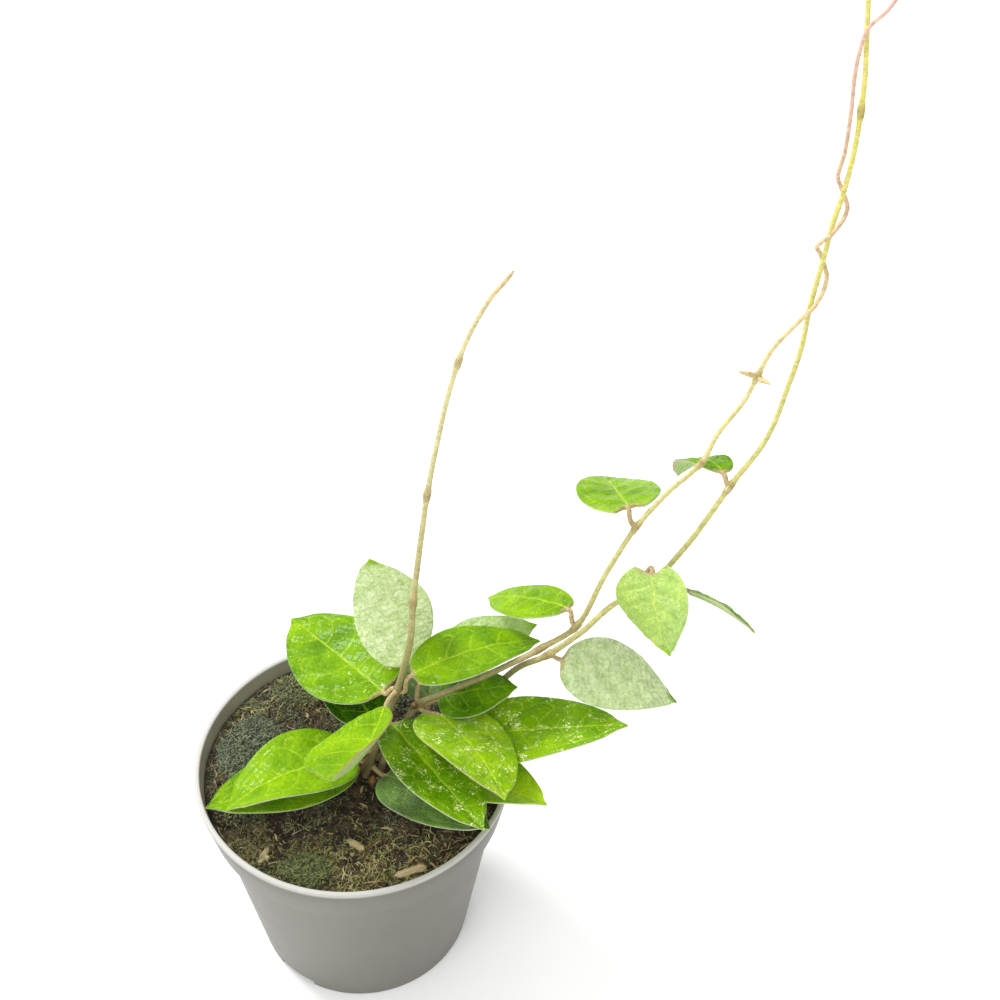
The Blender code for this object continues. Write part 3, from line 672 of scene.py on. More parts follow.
def earth_material():
    """Dark peat with paler and greener stretches."""
    shade = Shade("peat")
    fine = shade.noise(0.8, 6.0, 0.75)
    broad = shade.noise(7.0, 4.0, 0.6)
    mixed = shade.calc("MULTIPLY_ADD", broad, 0.6, shade.times(fine, 0.5))
    colour = shade.ramp(
        mixed,
        (0.38, (16, 12, 9)),
        (0.53, (50, 38, 28)),
        (0.65, (104, 88, 58)),
        (0.8, (168, 154, 106)),
    )
    green = shade.range(shade.noise(10.0, 4.0, 0.7), 0.5, 0.62, 0.0, 0.5)
    colour = shade.mix(green, colour, (62, 74, 40))
    grit = shade.cells(1.3)
    relief = shade.calc("MULTIPLY_ADD", grit, 0.8, fine)
    return shade.finish(
        Base_Color=colour, Roughness=shade.range(fine, 0.3, 0.7, 0.65, 0.98),
        Normal=shade.bump(relief, 0.6, 0.9),
    )


def litter_material(name, sheen):
    """Crumbs, fibres, moss and bark: the tone layer gives the colour of each bit."""
    shade = Shade(name)
    tone = shade.layer("tone", "Color")
    fine = shade.noise(0.5, 5.0, 0.75)
    streak = shade.noise(1.4, 3.0, 0.6, distortion=1.0)
    dark = shade.range(fine, 0.35, 0.65, 0.35, 0.0)
    colour = shade.mix(dark, tone, (60, 48, 36), "MULTIPLY")
    colour = shade.mix(shade.range(streak, 0.55, 0.8, 0.0, 0.3), colour, (150, 132, 96))
    relief = shade.calc("MULTIPLY_ADD", streak, 0.6, fine)
    return shade.finish(
        Base_Color=colour, Roughness=shade.range(fine, 0.3, 0.7, 0.6, 0.95),
        Normal=shade.bump(relief, 0.3, 0.8), Sheen_Weight=sheen,
    )


def floor_material():
    """The white studio floor."""
    shade = Shade("studio_floor")
    grain = shade.noise(60.0, 3.0)
    colour = shade.ramp(grain, (0.3, (252, 252, 252)), (0.7, (255, 255, 255)))
    return shade.finish(
        Base_Color=colour, Roughness=shade.range(grain, 0.3, 0.7, 0.85, 0.95),
        Normal=shade.bump(shade.noise(1.5, 2.0), 0.05, 0.2), Specular_IOR_Level=0.1,
    )


# ---------------------------------------------------------------- stems


def smooth_path(points, spacing):
    """A smooth curve through the points, with about one point every spacing. It keeps the points given."""
    given = [np.array(point, float) for point in points]
    padded = [2 * given[0] - given[1], *given, 2 * given[-1] - given[-2]]
    path = []
    for before, start, end, after in zip(padded, padded[1:], padded[2:], padded[3:]):
        length = np.linalg.norm(end - start)
        start_slope = unit(end - before) * length
        end_slope = unit(after - start) * length
        steps = max(1, round(length / spacing))
        for step in range(steps):
            t = step / steps
            path.append(
                start * (2 * t**3 - 3 * t**2 + 1)
                + start_slope * (t**3 - 2 * t**2 + t)
                + end * (3 * t**2 - 2 * t**3)
                + end_slope * (t**3 - t**2)
            )
    path.append(given[-1])
    return np.array(path)


def tangents(path):
    """Unit direction of the path at each of its points."""
    ahead = np.vstack([path[1:], 2 * path[-1] - path[-2]])
    behind = np.vstack([2 * path[0] - path[1], path[:-1]])
    return unit(ahead - behind)


def tube(path, radii, sides):
    """Circles square to the path, turned as little as possible: (rings, sides, 3). radii may be per point."""
    side = np.array([1.0, 0.0, 0.0])
    turns = circle(sides)
    rings = []
    for centre, along, radius in zip(path, tangents(path), radii):
        side = unit(side - along * (side @ along))
        other = np.cross(along, side)
        radius = np.broadcast_to(radius, sides)[:, None]
        rings.append(centre + radius * (np.cos(turns)[:, None] * side + np.sin(turns)[:, None] * other))
    return np.array(rings)


def twined_points():
    """The twining vine's points: its free part, its turns round the straight vine, and its free tip."""
    support = smooth_path(STRAIGHT_VINE.points, STEM_SPACING)
    turns = []
    for height, angle in TWINING_TURNS:
        above = next(i for i, point in enumerate(support) if point[2] > height)
        low, high = support[above - 1], support[above]
        centre = low + (high - low) * (height - low[2]) / (high[2] - low[2])
        turn = math.radians(angle)
        turns.append(tuple(centre + TWINE_RADIUS * np.array([math.cos(turn), math.sin(turn), 0.0])))
    return (*TWINING_START, *turns, *TWINING_END)


def stem_radii(stem, path):
    """An even taper, and a swelling with two ridges at each node."""
    share = np.arange(len(path)) / (len(path) - 1)
    radii = stem.start_radius + (stem.end_radius - stem.start_radius) * share**TAPER
    for node in stem.nodes:
        away = np.linalg.norm(path - np.array(stem.points[node]), axis=1)
        radii += stem.swelling * np.exp(-((away / NODE_LENGTH) ** 2))
        radii += 0.3 * stem.swelling * np.exp(-(((away - 1.5) / 0.5) ** 2))
    return radii


def nearness(stem, path):
    """1 at the stem's nodes, falling to 0 a few millimetres away."""
    near = np.zeros(len(path))
    for node in stem.nodes:
        away = np.linalg.norm(path - np.array(stem.points[node]), axis=1)
        near = np.maximum(near, np.exp(-((away / 2.4) ** 2)))
    return near


# Each stem's colours from its foot to its tip: share of its length, how woody, display colour
STEM_COLOURS = {
    "tendril": (
        (0.0, 1.0, (150, 136, 100)),
        (0.26, 0.8, (158, 148, 98)),
        (0.36, 0.4, (178, 168, 108)),
        (0.6, 0.2, (210, 202, 142)),
        (0.85, 0.1, (228, 220, 162)),
        (1.0, 0.3, (218, 194, 144)),
    ),
    "twining_vine": (
        (0.0, 1.0, (150, 136, 100)),
        (0.25, 0.6, (176, 164, 112)),
        (0.4, 0.2, (206, 202, 128)),
        (0.62, 0.1, (228, 218, 150)),
        (0.8, 0.1, (224, 192, 152)),
        (1.0, 0.1, (234, 190, 178)),
    ),
    "straight_vine": (
        (0.0, 1.0, (150, 136, 100)),
        (0.2, 0.8, (168, 154, 106)),
        (0.34, 0.4, (198, 194, 122)),
        (0.6, 0.1, (218, 214, 130)),
        (0.85, 0.0, (236, 228, 118)),
        (1.0, 0.0, (238, 230, 140)),
    ),
    "dry_stem": ((0.0, 1.0, (96, 78, 54)), (1.0, 1.0, (140, 112, 76))),
}


def make_stem(name, stem, colours, material, seed):
    """A stem with its scars, coloured by its stops from STEM_COLOURS."""
    path = smooth_path(stem.points, STEM_STEP)
    share = np.linspace(0, 1, len(path))
    radii = stem_radii(stem, path)
    reach = np.concatenate([[0], np.cumsum(np.linalg.norm(np.diff(path, axis=0), axis=1))])
    radii *= np.sqrt(np.clip((reach[-1] + 0.35 - reach) / 2.0, 0.05, 1))
    turns = circle(STEM_SIDES)
    ridge = 0.045 * np.sin(3 * turns[None, :] + reach[:, None] * 0.11 + seed)
    ridge = ridge + 0.035 * np.sin(5 * turns[None, :] - reach[:, None] * 0.35 + 2 * seed)
    ridge = ridge + 0.03 * np.sin(reach[:, None] * 1.9 + 2 * turns[None, :])
    points = tube(path, radii[:, None] * (1 + ridge), STEM_SIDES).reshape(-1, 3)
    stops, woods, shown = zip(*colours)
    shown = np.array([linear(*colour) for colour in shown])
    tone = np.stack([np.interp(share, stops, channel) for channel in shown.T], axis=1)
    wood = np.interp(share, stops, woods)
    near = nearness(stem, path)
    tone = tone * (1 - 0.55 * near[:, None]) + 0.55 * near[:, None] * linear(142, 112, 62)
    wood = np.maximum(wood, 0.8 * near)
    layers = {"tone": np.repeat(tone, STEM_SIDES, axis=0), "wood": np.repeat(wood, STEM_SIDES)}
    faces = ring_faces(len(path), STEM_SIDES)
    return new_piece(f"look_{name}", points, faces, material, name, layers)


def node_frame(stem, node):
    """(centre, direction, radius) of the stem at one of its given points."""
    path = smooth_path(stem.points, STEM_SPACING)
    radii = stem_radii(stem, path)
    centre = np.array(stem.points[node], float)
    nearest = int(np.argmin(np.linalg.norm(path - centre, axis=1)))
    return centre, tangents(path)[nearest], radii[nearest]


def leave_stem(stem, node, towards, depth):
    """(start, direction) of a stalk that leaves the stem square to it. depth says how far in it starts."""
    centre, along, radius = node_frame(stem, node)
    direction = unit(towards - along * (towards @ along))
    return centre + direction * (radius - depth), direction


# ---------------------------------------------------------------- leaves


def half_width(share, powers):
    """The blade's half-width as a share of its largest, from base (0) to tip (1)."""
    opening, closing = powers
    widest = opening / (opening + closing)
    largest = widest**opening * (1 - widest) ** closing
    return share**opening * (1 - share) ** closing / largest


def blade_axes(leaf, share):
    """(midrib points, sides, normals, direction, length) of the blade at an array of shares."""
    base, tip = np.array(leaf.base, float), np.array(leaf.tip, float)
    length = np.linalg.norm(tip - base)
    along = (tip - base) / length
    level = unit(np.array([0.0, 0.0, 1.0]) - along * along[2])
    across = np.cross(along, level)
    turn = np.radians(leaf.roll + leaf.twist * (share - 0.5))[:, None]
    normal = np.cos(turn) * level + np.sin(turn) * across
    side = np.cos(turn) * across - np.sin(turn) * level
    share = share[:, None]
    middle = base + (tip - base) * share + normal * (leaf.arch * 4 * share * (1 - share))
    return middle, side, normal, along, length


def vein_field(share, across, reach, length, rng):
    """(vein strength, height) over the blade, both of shape (rows, columns)."""
    s, a = share[:, None], np.abs(across)[None, :]
    right = (across[None, :] > 0).astype(float)
    phase = rng.uniform(0, 2 * np.pi, 6)
    waver = 0.010 * np.sin(9 * s + 4 * across[None, :] + phase[0]) + 0.006 * np.sin(23 * s + phase[1])
    width = np.maximum(reach[:, None], 0.01)
    middle = np.exp(-((a * width / (0.24 + 0.26 * (1 - s))) ** 2))
    count = rng.uniform(4.6, 5.8)
    bend = 0.05 * a + 0.13 * a**2
    place = (s - bend + waver) * count + 0.45 * right + phase[2]
    part = place - np.floor(place)
    gap = np.minimum(part, 1 - part) * length / count
    fade = smooth_step(0.0, 0.10, s - bend) * (1 - smooth_step(0.60, 0.78, a))
    lateral = np.exp(-((gap / 0.27) ** 2)) * fade
    arch_line = 0.58 + 0.24 * (4 * part * (1 - part)) ** 0.6 + 0.02 * np.sin(17 * s + phase[3])
    loop = np.exp(-(((a - arch_line) * width / 0.26) ** 2)) * smooth_step(0.06, 0.2, s)
    loop = loop * (1 - smooth_step(0.86, 0.97, s))
    vein = np.maximum(middle, np.maximum(0.75 * lateral, 0.55 * loop))
    quilt = np.sin(np.pi * part) ** 2 * 4 * a * (1 - a)
    height = 0.30 * quilt - 0.26 * middle - 0.20 * np.maximum(lateral, 0.8 * loop)
    return vein, height


def pucker(run, across, reach, rng):
    """Small uneven swellings over the blade. run is the way along it in mm."""
    run, wide = run[:, None], across[None, :] * reach[:, None]
    swell = rng.uniform(0, 2 * np.pi, 4)
    small = np.sin(1.7 * run + 0.9 * wide + swell[0]) * np.sin(1.5 * wide - 0.8 * run + swell[1])
    return 0.10 * small + 0.22 * np.sin(0.62 * run + swell[2]) * np.sin(0.55 * wide + swell[3])


def stalk_angles():
    """Angles round the stalk's section, one for each point of the blade's section."""
    slack = 0.25
    top = np.linspace(np.pi - slack, slack, LEAF_COLUMNS)
    end = np.linspace(slack, -slack, RIM_STEPS + 2)[1:-1]
    return np.concatenate([top, end, -top[::-1], np.pi + end])


def leaf_sections(share, across, reach, vein, relief):
    """Sections that open from the round stalk into the flat blade: (sideways, upward, place from -1 to 1)."""
    thickness = LEAF_THICKNESS * (1 - share) ** 0.35 + 0.22
    rim = np.minimum(LEAF_RIM, 0.7 * reach + 0.03)
    wide = smooth_step(0.5, 4.0, reach)[:, None]
    belly = rim[:, None] + (0.5 * thickness - rim)[:, None] * (1 - across[None, :] ** 2)
    over = belly + relief * wide
    keel = 0.55 * np.exp(-((across[None, :] * reach[:, None] / 0.9) ** 2)) * (1 - share[:, None])
    below = -(belly + keel * wide + 0.10 * vein * wide)
    flat = across[None, :] * (reach - rim)[:, None]
    bends = np.pi * (0.5 - np.arange(1, RIM_STEPS + 1) / (RIM_STEPS + 1))
    rim_u = (reach - rim)[:, None] + rim[:, None] * np.cos(bends)[None, :]
    rim_v = rim[:, None] * np.sin(bends)[None, :]
    section_u = np.hstack([flat, rim_u, flat[:, ::-1], -rim_u[:, ::-1]])
    section_v = np.hstack([over, rim_v, below[:, ::-1], -rim_v])
    places = np.concatenate([across, np.ones(RIM_STEPS), across[::-1], -np.ones(RIM_STEPS)])

    opened = smooth_step(0.0, 0.03, share)[:, None]
    angles = stalk_angles()
    stalk_u, stalk_v = PETIOLE_RADIUS * np.cos(angles), PETIOLE_RADIUS * np.sin(angles)
    section_u = stalk_u * (1 - opened) + section_u * opened
    section_v = stalk_v * (1 - opened) + section_v * opened
    return section_u, section_v, places * opened


def set_blade(leaf, share, reach, sections, phase):
    """The blade's points: its sections folded, waved at the rim and set along the midrib."""
    section_u, section_v, places = sections
    middle, side, normal, along, length = blade_axes(leaf, share)
    fold = math.radians(leaf.fold)
    wave = 0.30 * np.sin(2 * np.pi * 1.7 * share[:, None] + np.where(places > 0, phase[0], phase[1]))
    wave = wave * np.abs(places) ** 3 * np.sin(np.pi * share[:, None])
    softened = np.sqrt(places**2 + 0.004) - math.sqrt(0.004)
    lift = softened * reach[:, None] * math.sin(fold) + section_v + wave
    back = leaf.lobe * length * places**2 * (1 - share[:, None]) ** 3
    return (
        middle[:, None, :]
        + side[:, None, :] * (section_u * math.cos(fold))[..., None]
        + normal[:, None, :] * lift[..., None]
        - along * back[..., None]
    )


def stalk_rings(leaf, stem, blade_side, phase):
    """The stalk's rings, on a curve that leaves the stem square to it and runs into the midrib."""
    angles = stalk_angles()
    base = np.array(leaf.base, float)
    start, leaving = leave_stem(stem, leaf.node, base - np.array(stem.points[leaf.node]), 0.6)
    arriving = unit(blade_axes(leaf, np.array([0.05]))[0][0] - base)
    gap = np.linalg.norm(base - start)
    bend_in, bend_out = start + leaving * gap * STALK_BEND, base - arriving * gap * STALK_BEND
    rings = []
    for t in np.arange(PETIOLE_RINGS) / PETIOLE_RINGS:
        centre = (
            start * (1 - t) ** 3
            + bend_in * 3 * t * (1 - t) ** 2
            + bend_out * 3 * t * t * (1 - t)
            + base * t**3
        )
        heading = unit(
            (bend_in - start) * (1 - t) ** 2
            + (bend_out - bend_in) * 2 * t * (1 - t)
            + (base - bend_out) * t * t
        )
        side = unit(blade_side - heading * (blade_side @ heading))
        up = np.cross(side, heading)
        radius = PETIOLE_RADIUS * (1 + 0.22 * (1 - t) ** 6 + 0.04 * math.sin(9 * t + phase))
        rings.append(centre + radius * (np.cos(angles)[:, None] * side + np.sin(angles)[:, None] * up))
    return np.array(rings)


def leaf_layers(looks, share, reach, vein, section_u):
    """What the leaf material reads at each point of the stalk and the blade."""
    light, fleck, painted_sheen, blush = looks
    columns = section_u.shape[1]

    def spread(blade_values, stalk_value):
        stalk = np.full((PETIOLE_RINGS, columns), stalk_value, float)
        return np.concatenate([stalk, np.broadcast_to(blade_values, (LEAF_ROWS, columns))]).ravel()

    edge = 1 - smooth_step(0.6, 1.6, reach[:, None] - np.abs(section_u))
    edge = edge * smooth_step(1.0, 3.0, reach)[:, None]
    bare = np.zeros((LEAF_ROWS, RIM_STEPS))
    round_rim = smooth_step(0.2, 2.0, np.arange(RIM_STEPS))
    turn_under = np.concatenate([np.zeros(LEAF_COLUMNS), round_rim, np.ones(LEAF_COLUMNS), round_rim[::-1]])
    return {
        "vein": spread(np.hstack([vein, bare, vein[:, ::-1], bare]), 0.0),
        "rim": spread(edge, 0.0),
        "under": spread(turn_under[None, :], 0.5),
        "stalk": spread(1 - smooth_step(0.0, 0.045, share)[:, None], 1.0),
        "light": spread(light, light),
        "fleck": spread(fleck, 0.0),
        # painted sheen, faded out towards the tip
        "painted_sheen": spread(painted_sheen * (1 - smooth_step(0.86, 0.96, share))[:, None], 0.0),
        "blush": spread(blush, blush),
    }


def make_leaf(name, leaf, stems, material):
    """A leaf from its stalk to its tip as one skin: upper side, rounded rim and underside."""
    rng = np.random.default_rng(SEED + int(name[-2:]))
    looks = LEAF_LOOKS[name]
    painted_sheen = looks[2]
    u = np.linspace(0, 1, LEAF_ROWS)
    share = 0.5 * u + 0.25 * (1 - np.cos(np.pi * u))
    across = np.linspace(-1, 1, LEAF_COLUMNS)
    _, side, _, _, length = blade_axes(leaf, share)
    reach = 0.5 * leaf.width * half_width(share, leaf.powers)
    reach = reach * (1 - 0.42 * smooth_step(0.87, 0.985, share))
    vein, relief = vein_field(share, across, reach, length, rng)
    relief = relief + pucker(share * length, across, reach, rng) * (1 + 0.9 * painted_sheen)
    sections = leaf_sections(share, across, reach, vein, relief)
    phase = rng.uniform(0, 2 * np.pi, 3)
    blade = set_blade(leaf, share, reach, sections, phase)
    points = np.concatenate([stalk_rings(leaf, stems[leaf.stem], side[0], phase[2]), blade])
    layers = leaf_layers(looks, share, reach, vein, sections[0])
    faces = ring_faces(len(points), points.shape[1])
    return new_piece(f"look_{name}", points.reshape(-1, 3), faces, material, name, layers)


# ---------------------------------------------------------------- pot


def wall_radius(height):
    """The pot's outer radius at a height, below the ledge."""
    return BASE_RADIUS + (LEDGE_RADIUS - BASE_RADIUS) * height / LEDGE_BOTTOM


def pot_profile():
    """The shell's section from the middle of its floor, up inside, over the rim, down outside and under."""
    wall = [(wall_radius(height), height) for height in np.linspace(LEDGE_BOTTOM - 2, 3.0, 20)]
    return (
        (1.0, FLOOR),
        (20.0, FLOOR),
        (wall_radius(FLOOR) - WALL - 1.0, FLOOR),
        (wall_radius(FLOOR + 1.0) - WALL, FLOOR + 1.0),
        *[(radius - WALL, height) for radius, height in reversed(wall)],
        (LEDGE_RADIUS - WALL, LEDGE_BOTTOM),
        (BAND_BOTTOM_RADIUS - WALL, BAND_BOTTOM + 1.0),
        (RIM_RADIUS - WALL - 0.8, RIM_HEIGHT - 2.5),
        (RIM_RADIUS - WALL - 0.75, RIM_HEIGHT - 1.2),
        (RIM_RADIUS - WALL - 0.65, RIM_HEIGHT - 0.35),
        (RIM_RADIUS - WALL - 0.35, RIM_HEIGHT - 0.05),
        (RIM_RADIUS - WALL + 0.1, RIM_HEIGHT),
        (RIM_RADIUS - 0.75, RIM_HEIGHT),
        (RIM_RADIUS - 0.35, RIM_HEIGHT - 0.08),
        (RIM_RADIUS - 0.08, RIM_HEIGHT - 0.35),
        (RIM_RADIUS, RIM_HEIGHT - 0.8),
        (RIM_RADIUS, RIM_HEIGHT - 1.9),
        (RIM_RADIUS - 0.15, RIM_HEIGHT - 2.3),
        (RIM_RADIUS - 0.65, RIM_HEIGHT - 2.6),
        (RIM_RADIUS - 0.85, RIM_HEIGHT - 3.0),
        (RIM_RADIUS - 0.75, RIM_HEIGHT - 3.5),
        (BAND_BOTTOM_RADIUS + 1.6, BAND_BOTTOM + 8.0),
        (BAND_BOTTOM_RADIUS + 0.3, BAND_BOTTOM + 1.0),
        (BAND_BOTTOM_RADIUS + 0.15, BAND_BOTTOM + 0.2),
        (BAND_BOTTOM_RADIUS - 0.25, BAND_BOTTOM - 0.45),
        (BAND_BOTTOM_RADIUS - 0.9, BAND_BOTTOM - 1.0),
        (LEDGE_RADIUS + 0.35, LEDGE_BOTTOM + 0.2),
        (LEDGE_RADIUS + 0.05, LEDGE_BOTTOM - 0.6),
        *wall,
        (wall_radius(1.2), 1.2),
        (wall_radius(0.6) - 0.1, 0.5),
        (BASE_RADIUS - 0.5, 0.12),
        (BASE_RADIUS - 1.1, 0.0),
        (20.0, 0.0),
        (1.0, 0.0),
    )


def helper(name, points, faces):
    """A Boolean's second mesh, from points in mm."""
    mesh = bpy.data.meshes.new(name)
    mesh.from_pydata([tuple(np.array(point) * MM) for point in points], [], faces)
    obj = bpy.data.objects.new(name, mesh)
    bpy.context.scene.collection.objects.link(obj)
    return obj


def pocket_boxes(name, inner, outer, width, bottom, top):
    """A box along the radius at each drain pocket, from inner to outer."""
    points, faces = [], []
    for angle in POCKET_ANGLES:
        turn = math.radians(angle)
        outward = np.array([math.cos(turn), math.sin(turn), 0.0])
        sideways = np.array([-math.sin(turn), math.cos(turn), 0.0])
        first = len(points)
        for height in (bottom, top):
            for reach, share in ((inner, -0.5), (outer, -0.5), (outer, 0.5), (inner, 0.5)):
                points.append(outward * reach + sideways * share * width + np.array([0, 0, height]))
        for corners in ((3, 2, 1, 0), (4, 5, 6, 7), (0, 1, 5, 4), (1, 2, 6, 5), (2, 3, 7, 6), (3, 0, 4, 7)):
            faces.append([first + corner for corner in corners])
    return helper(name, points, faces)


def drain_cutters(name):
    """A round bar through each pocket's roof."""
    points, faces, sides = [], [], 32
    for angle in POCKET_ANGLES:
        turn = math.radians(angle)
        first = len(points)
        for height in (1.0, POCKET_HEIGHT + 3.0):
            for i in range(sides):
                spin = 2 * math.pi * i / sides
                x = DRAIN_PLACE * math.cos(turn) + DRAIN_RADIUS * math.cos(spin)
                y = DRAIN_PLACE * math.sin(turn) + DRAIN_RADIUS * math.sin(spin)
                points.append((x, y, height))
        for i in range(sides):
            j = (i + 1) % sides
            faces.append([first + i, first + j, first + sides + j, first + sides + i])
        faces.append([first + i for i in reversed(range(sides))])
        faces.append([first + sides + i for i in range(sides)])
    return helper(name, points, faces)


def make_pot():
    """The pot: a turned shell with a rolled rim, and three drain pockets under its edge."""
    profile = np.array(pot_profile())
    radii = profile[:, 0, None, None] * circle_points(POT_SEGMENTS)[None]
    heights = np.broadcast_to(profile[:, 1, None, None], (len(profile), POT_SEGMENTS, 1))
    points = np.concatenate([radii, heights], axis=2).reshape(-1, 3)
    faces = ring_faces(len(profile), POT_SEGMENTS)
    faces = [group[:, ::-1] for group in faces]
    step = np.arange(len(profile))
    crest = int(np.argmax(profile[:, 1]))
    layers = {
        # masks for the painted light: the inner wall painted lighter and a painted highlight on the top of
        # the rim
        "inside": np.repeat(((step < crest) & (profile[:, 1] > BAND_BOTTOM)).astype(float), POT_SEGMENTS),
        "lip_highlight": np.repeat((profile[:, 1] > RIM_HEIGHT - 1.0).astype(float), POT_SEGMENTS),
    }
    pot = new_piece("look_pot", points, faces, pot_material(), "pot", layers)
    inner, top = POCKET_INNER - POCKET_WALL, POCKET_HEIGHT + POCKET_WALL
    width = POCKET_WIDTH + 2 * POCKET_WALL
    cuts = (
        (pocket_boxes("housings", inner, POCKET_OUTER, width, 0.5, top), "UNION"),
        (pocket_boxes("pockets", POCKET_INNER, RIM_RADIUS, POCKET_WIDTH, -1.0, POCKET_HEIGHT), "DIFFERENCE"),
        (drain_cutters("drains"), "DIFFERENCE"),
    )
    for other, operation in cuts:
        modifier = pot.modifiers.new(other.name, "BOOLEAN")
        modifier.operation = operation
        modifier.object = other
    made = bpy.data.meshes.new_from_object(pot.evaluated_get(bpy.context.evaluated_depsgraph_get()))
    pot.modifiers.clear()
    pot.data = made
    for other, _ in cuts:
        bpy.data.objects.remove(other)
    made.shade_smooth()
    made.set_sharp_from_angle(angle=math.radians(38))
    return pot


# ---------------------------------------------------------------- soil, moss and litter


def soil_height(x, y):
    """The soil's surface above a point: a shallow dome, banked up at the back left."""
    reach = x * BANK_TOWARDS[0] + y * BANK_TOWARDS[1]
    dome = SOIL_EDGE + SOIL_RISE * (1 - (x * x + y * y) / SOIL_RADIUS**2)
    return dome + BANK_RISE * smooth_step(BANK_START, BANK_END, reach)


def soil_relief(x, y):
    """Lumps on the soil, in mm, from -1.5 to 1.5 or so."""
    flat = on_plane(x, y)
    return 0.95 * rough(flat, 8.0, 3, 1) + 0.65 * rough(flat, 2.4, 3, 2)


def make_soil(material):
    """The body of soil: it fills the pot above its pockets and has a lumpy top."""
    around = circle_points(SOIL_SPOKES)
    sides = (
        (8.0, SOIL_BOTTOM),
        (wall_radius(SOIL_BOTTOM) - WALL - 0.4, SOIL_BOTTOM),
        (wall_radius(40.0) - WALL - SOIL_GAP, 40.0),
        (LEDGE_RADIUS - WALL - SOIL_GAP, LEDGE_BOTTOM),
        (BAND_BOTTOM_RADIUS - WALL - 0.5, BAND_BOTTOM + 1.3),
    )
    rings = [np.column_stack([around * radius, np.full(SOIL_SPOKES, height)]) for radius, height in sides]
    x, y = (around * (SOIL_RADIUS - 0.3)).T
    rings.append(np.column_stack([x, y, soil_height(x, y) - 1.2]))
    for radius in np.linspace(SOIL_RADIUS - 0.4, 0.35, SOIL_RINGS):
        x, y = (around * radius).T
        height = soil_height(x, y) + soil_relief(x, y) * min(1.0, (SOIL_RADIUS + 0.6 - radius) / 2.5)
        rings.append(np.column_stack([x, y, height]))
    points = np.concatenate(rings)
    return new_piece("look_soil", points, ring_faces(len(rings), SOIL_SPOKES), material, "soil")


def spins(rng, count):
    """Random turns as matrices."""
    q = unit(rng.normal(size=(count, 4)))
    w, x, y, z = q.T
    return np.stack(
        [
            np.stack([1 - 2 * (y * y + z * z), 2 * (x * y - z * w), 2 * (x * z + y * w)], axis=1),
            np.stack([2 * (x * y + z * w), 1 - 2 * (x * x + z * z), 2 * (y * z - x * w)], axis=1),
            np.stack([2 * (x * z - y * w), 2 * (y * z + x * w), 1 - 2 * (x * x + y * y)], axis=1),
        ],
        axis=1,
    )


def ball(subdivisions):
    """(unit points, triangles) of a ball."""
    bm = bmesh.new()
    bmesh.ops.create_icosphere(bm, subdivisions=subdivisions, radius=1.0)
    points = np.array([vertex.co[:] for vertex in bm.verts])
    triangles = np.array([[vertex.index for vertex in face.verts] for face in bm.faces])
    bm.free()
    return points, triangles


def scatter_places(rng, count):
    """Random places on the soil, evenly spread."""
    radius = LITTER_EDGE * np.sqrt(rng.uniform(0, 1, count))
    turn = rng.uniform(0, 2 * np.pi, count)
    return radius * np.cos(turn), radius * np.sin(turn)


def pick_tones(rng, count, colours, low, high):
    """A colour for each bit, picked from (share, display colour) pairs and made darker or lighter."""
    palette = np.array([linear(*colour) for _, colour in colours])
    pick = rng.choice(len(palette), count, p=[share for share, _ in colours])
    return palette[pick] * rng.uniform(low, high, (count, 1))


def new_litter(name, points, faces, each, tone, material):
    """A piece made of many bits, each with its own tone. each is how many points a bit has."""
    return new_piece(name, points, faces, material, None, {"tone": np.repeat(tone, each, axis=0)})


# How much of the litter has which display colour
CRUMB_COLOURS = (
    (0.40, (38, 29, 22)),
    (0.28, (72, 56, 38)),
    (0.14, (120, 102, 66)),
    (0.12, (92, 98, 54)),
    (0.06, (196, 182, 136)),
)
FIBRE_COLOURS = (
    (0.24, (112, 92, 58)),
    (0.28, (184, 172, 104)),
    (0.18, (238, 230, 178)),
    (0.22, (194, 198, 110)),
    (0.08, (206, 178, 134)),
)


def make_crumbs(material):
    """Crumbs of peat, grit and bark of every size, pressed into the soil."""
    rng = np.random.default_rng(SEED + 100)
    shell, triangles = ball(1)
    count = CRUMBS
    x, y = scatter_places(rng, count)
    size = 0.20 + 0.75 * rng.uniform(0, 1, count) ** 5
    stretch = rng.uniform(0.55, 1.35, (count, 3))
    bumps = 1 + 0.26 * rng.normal(size=(count, len(shell))).clip(-1.6, 1.6)
    local = shell[None] * bumps[..., None] * stretch[:, None, :] * size[:, None, None]
    turned = np.einsum("nij,nkj->nki", spins(rng, count), local)
    ground = soil_height(x, y) + soil_relief(x, y)
    centre = np.column_stack([x, y, ground + 0.25 * size])
    points = (turned + centre[:, None, :]).reshape(-1, 3)
    faces = [(triangles[None] + np.arange(count)[:, None, None] * len(shell)).reshape(-1, 3)]
    tone = pick_tones(rng, count, CRUMB_COLOURS, 0.7, 1.3)
    return new_litter("soil_crumbs", points, faces, len(shell), tone, material)


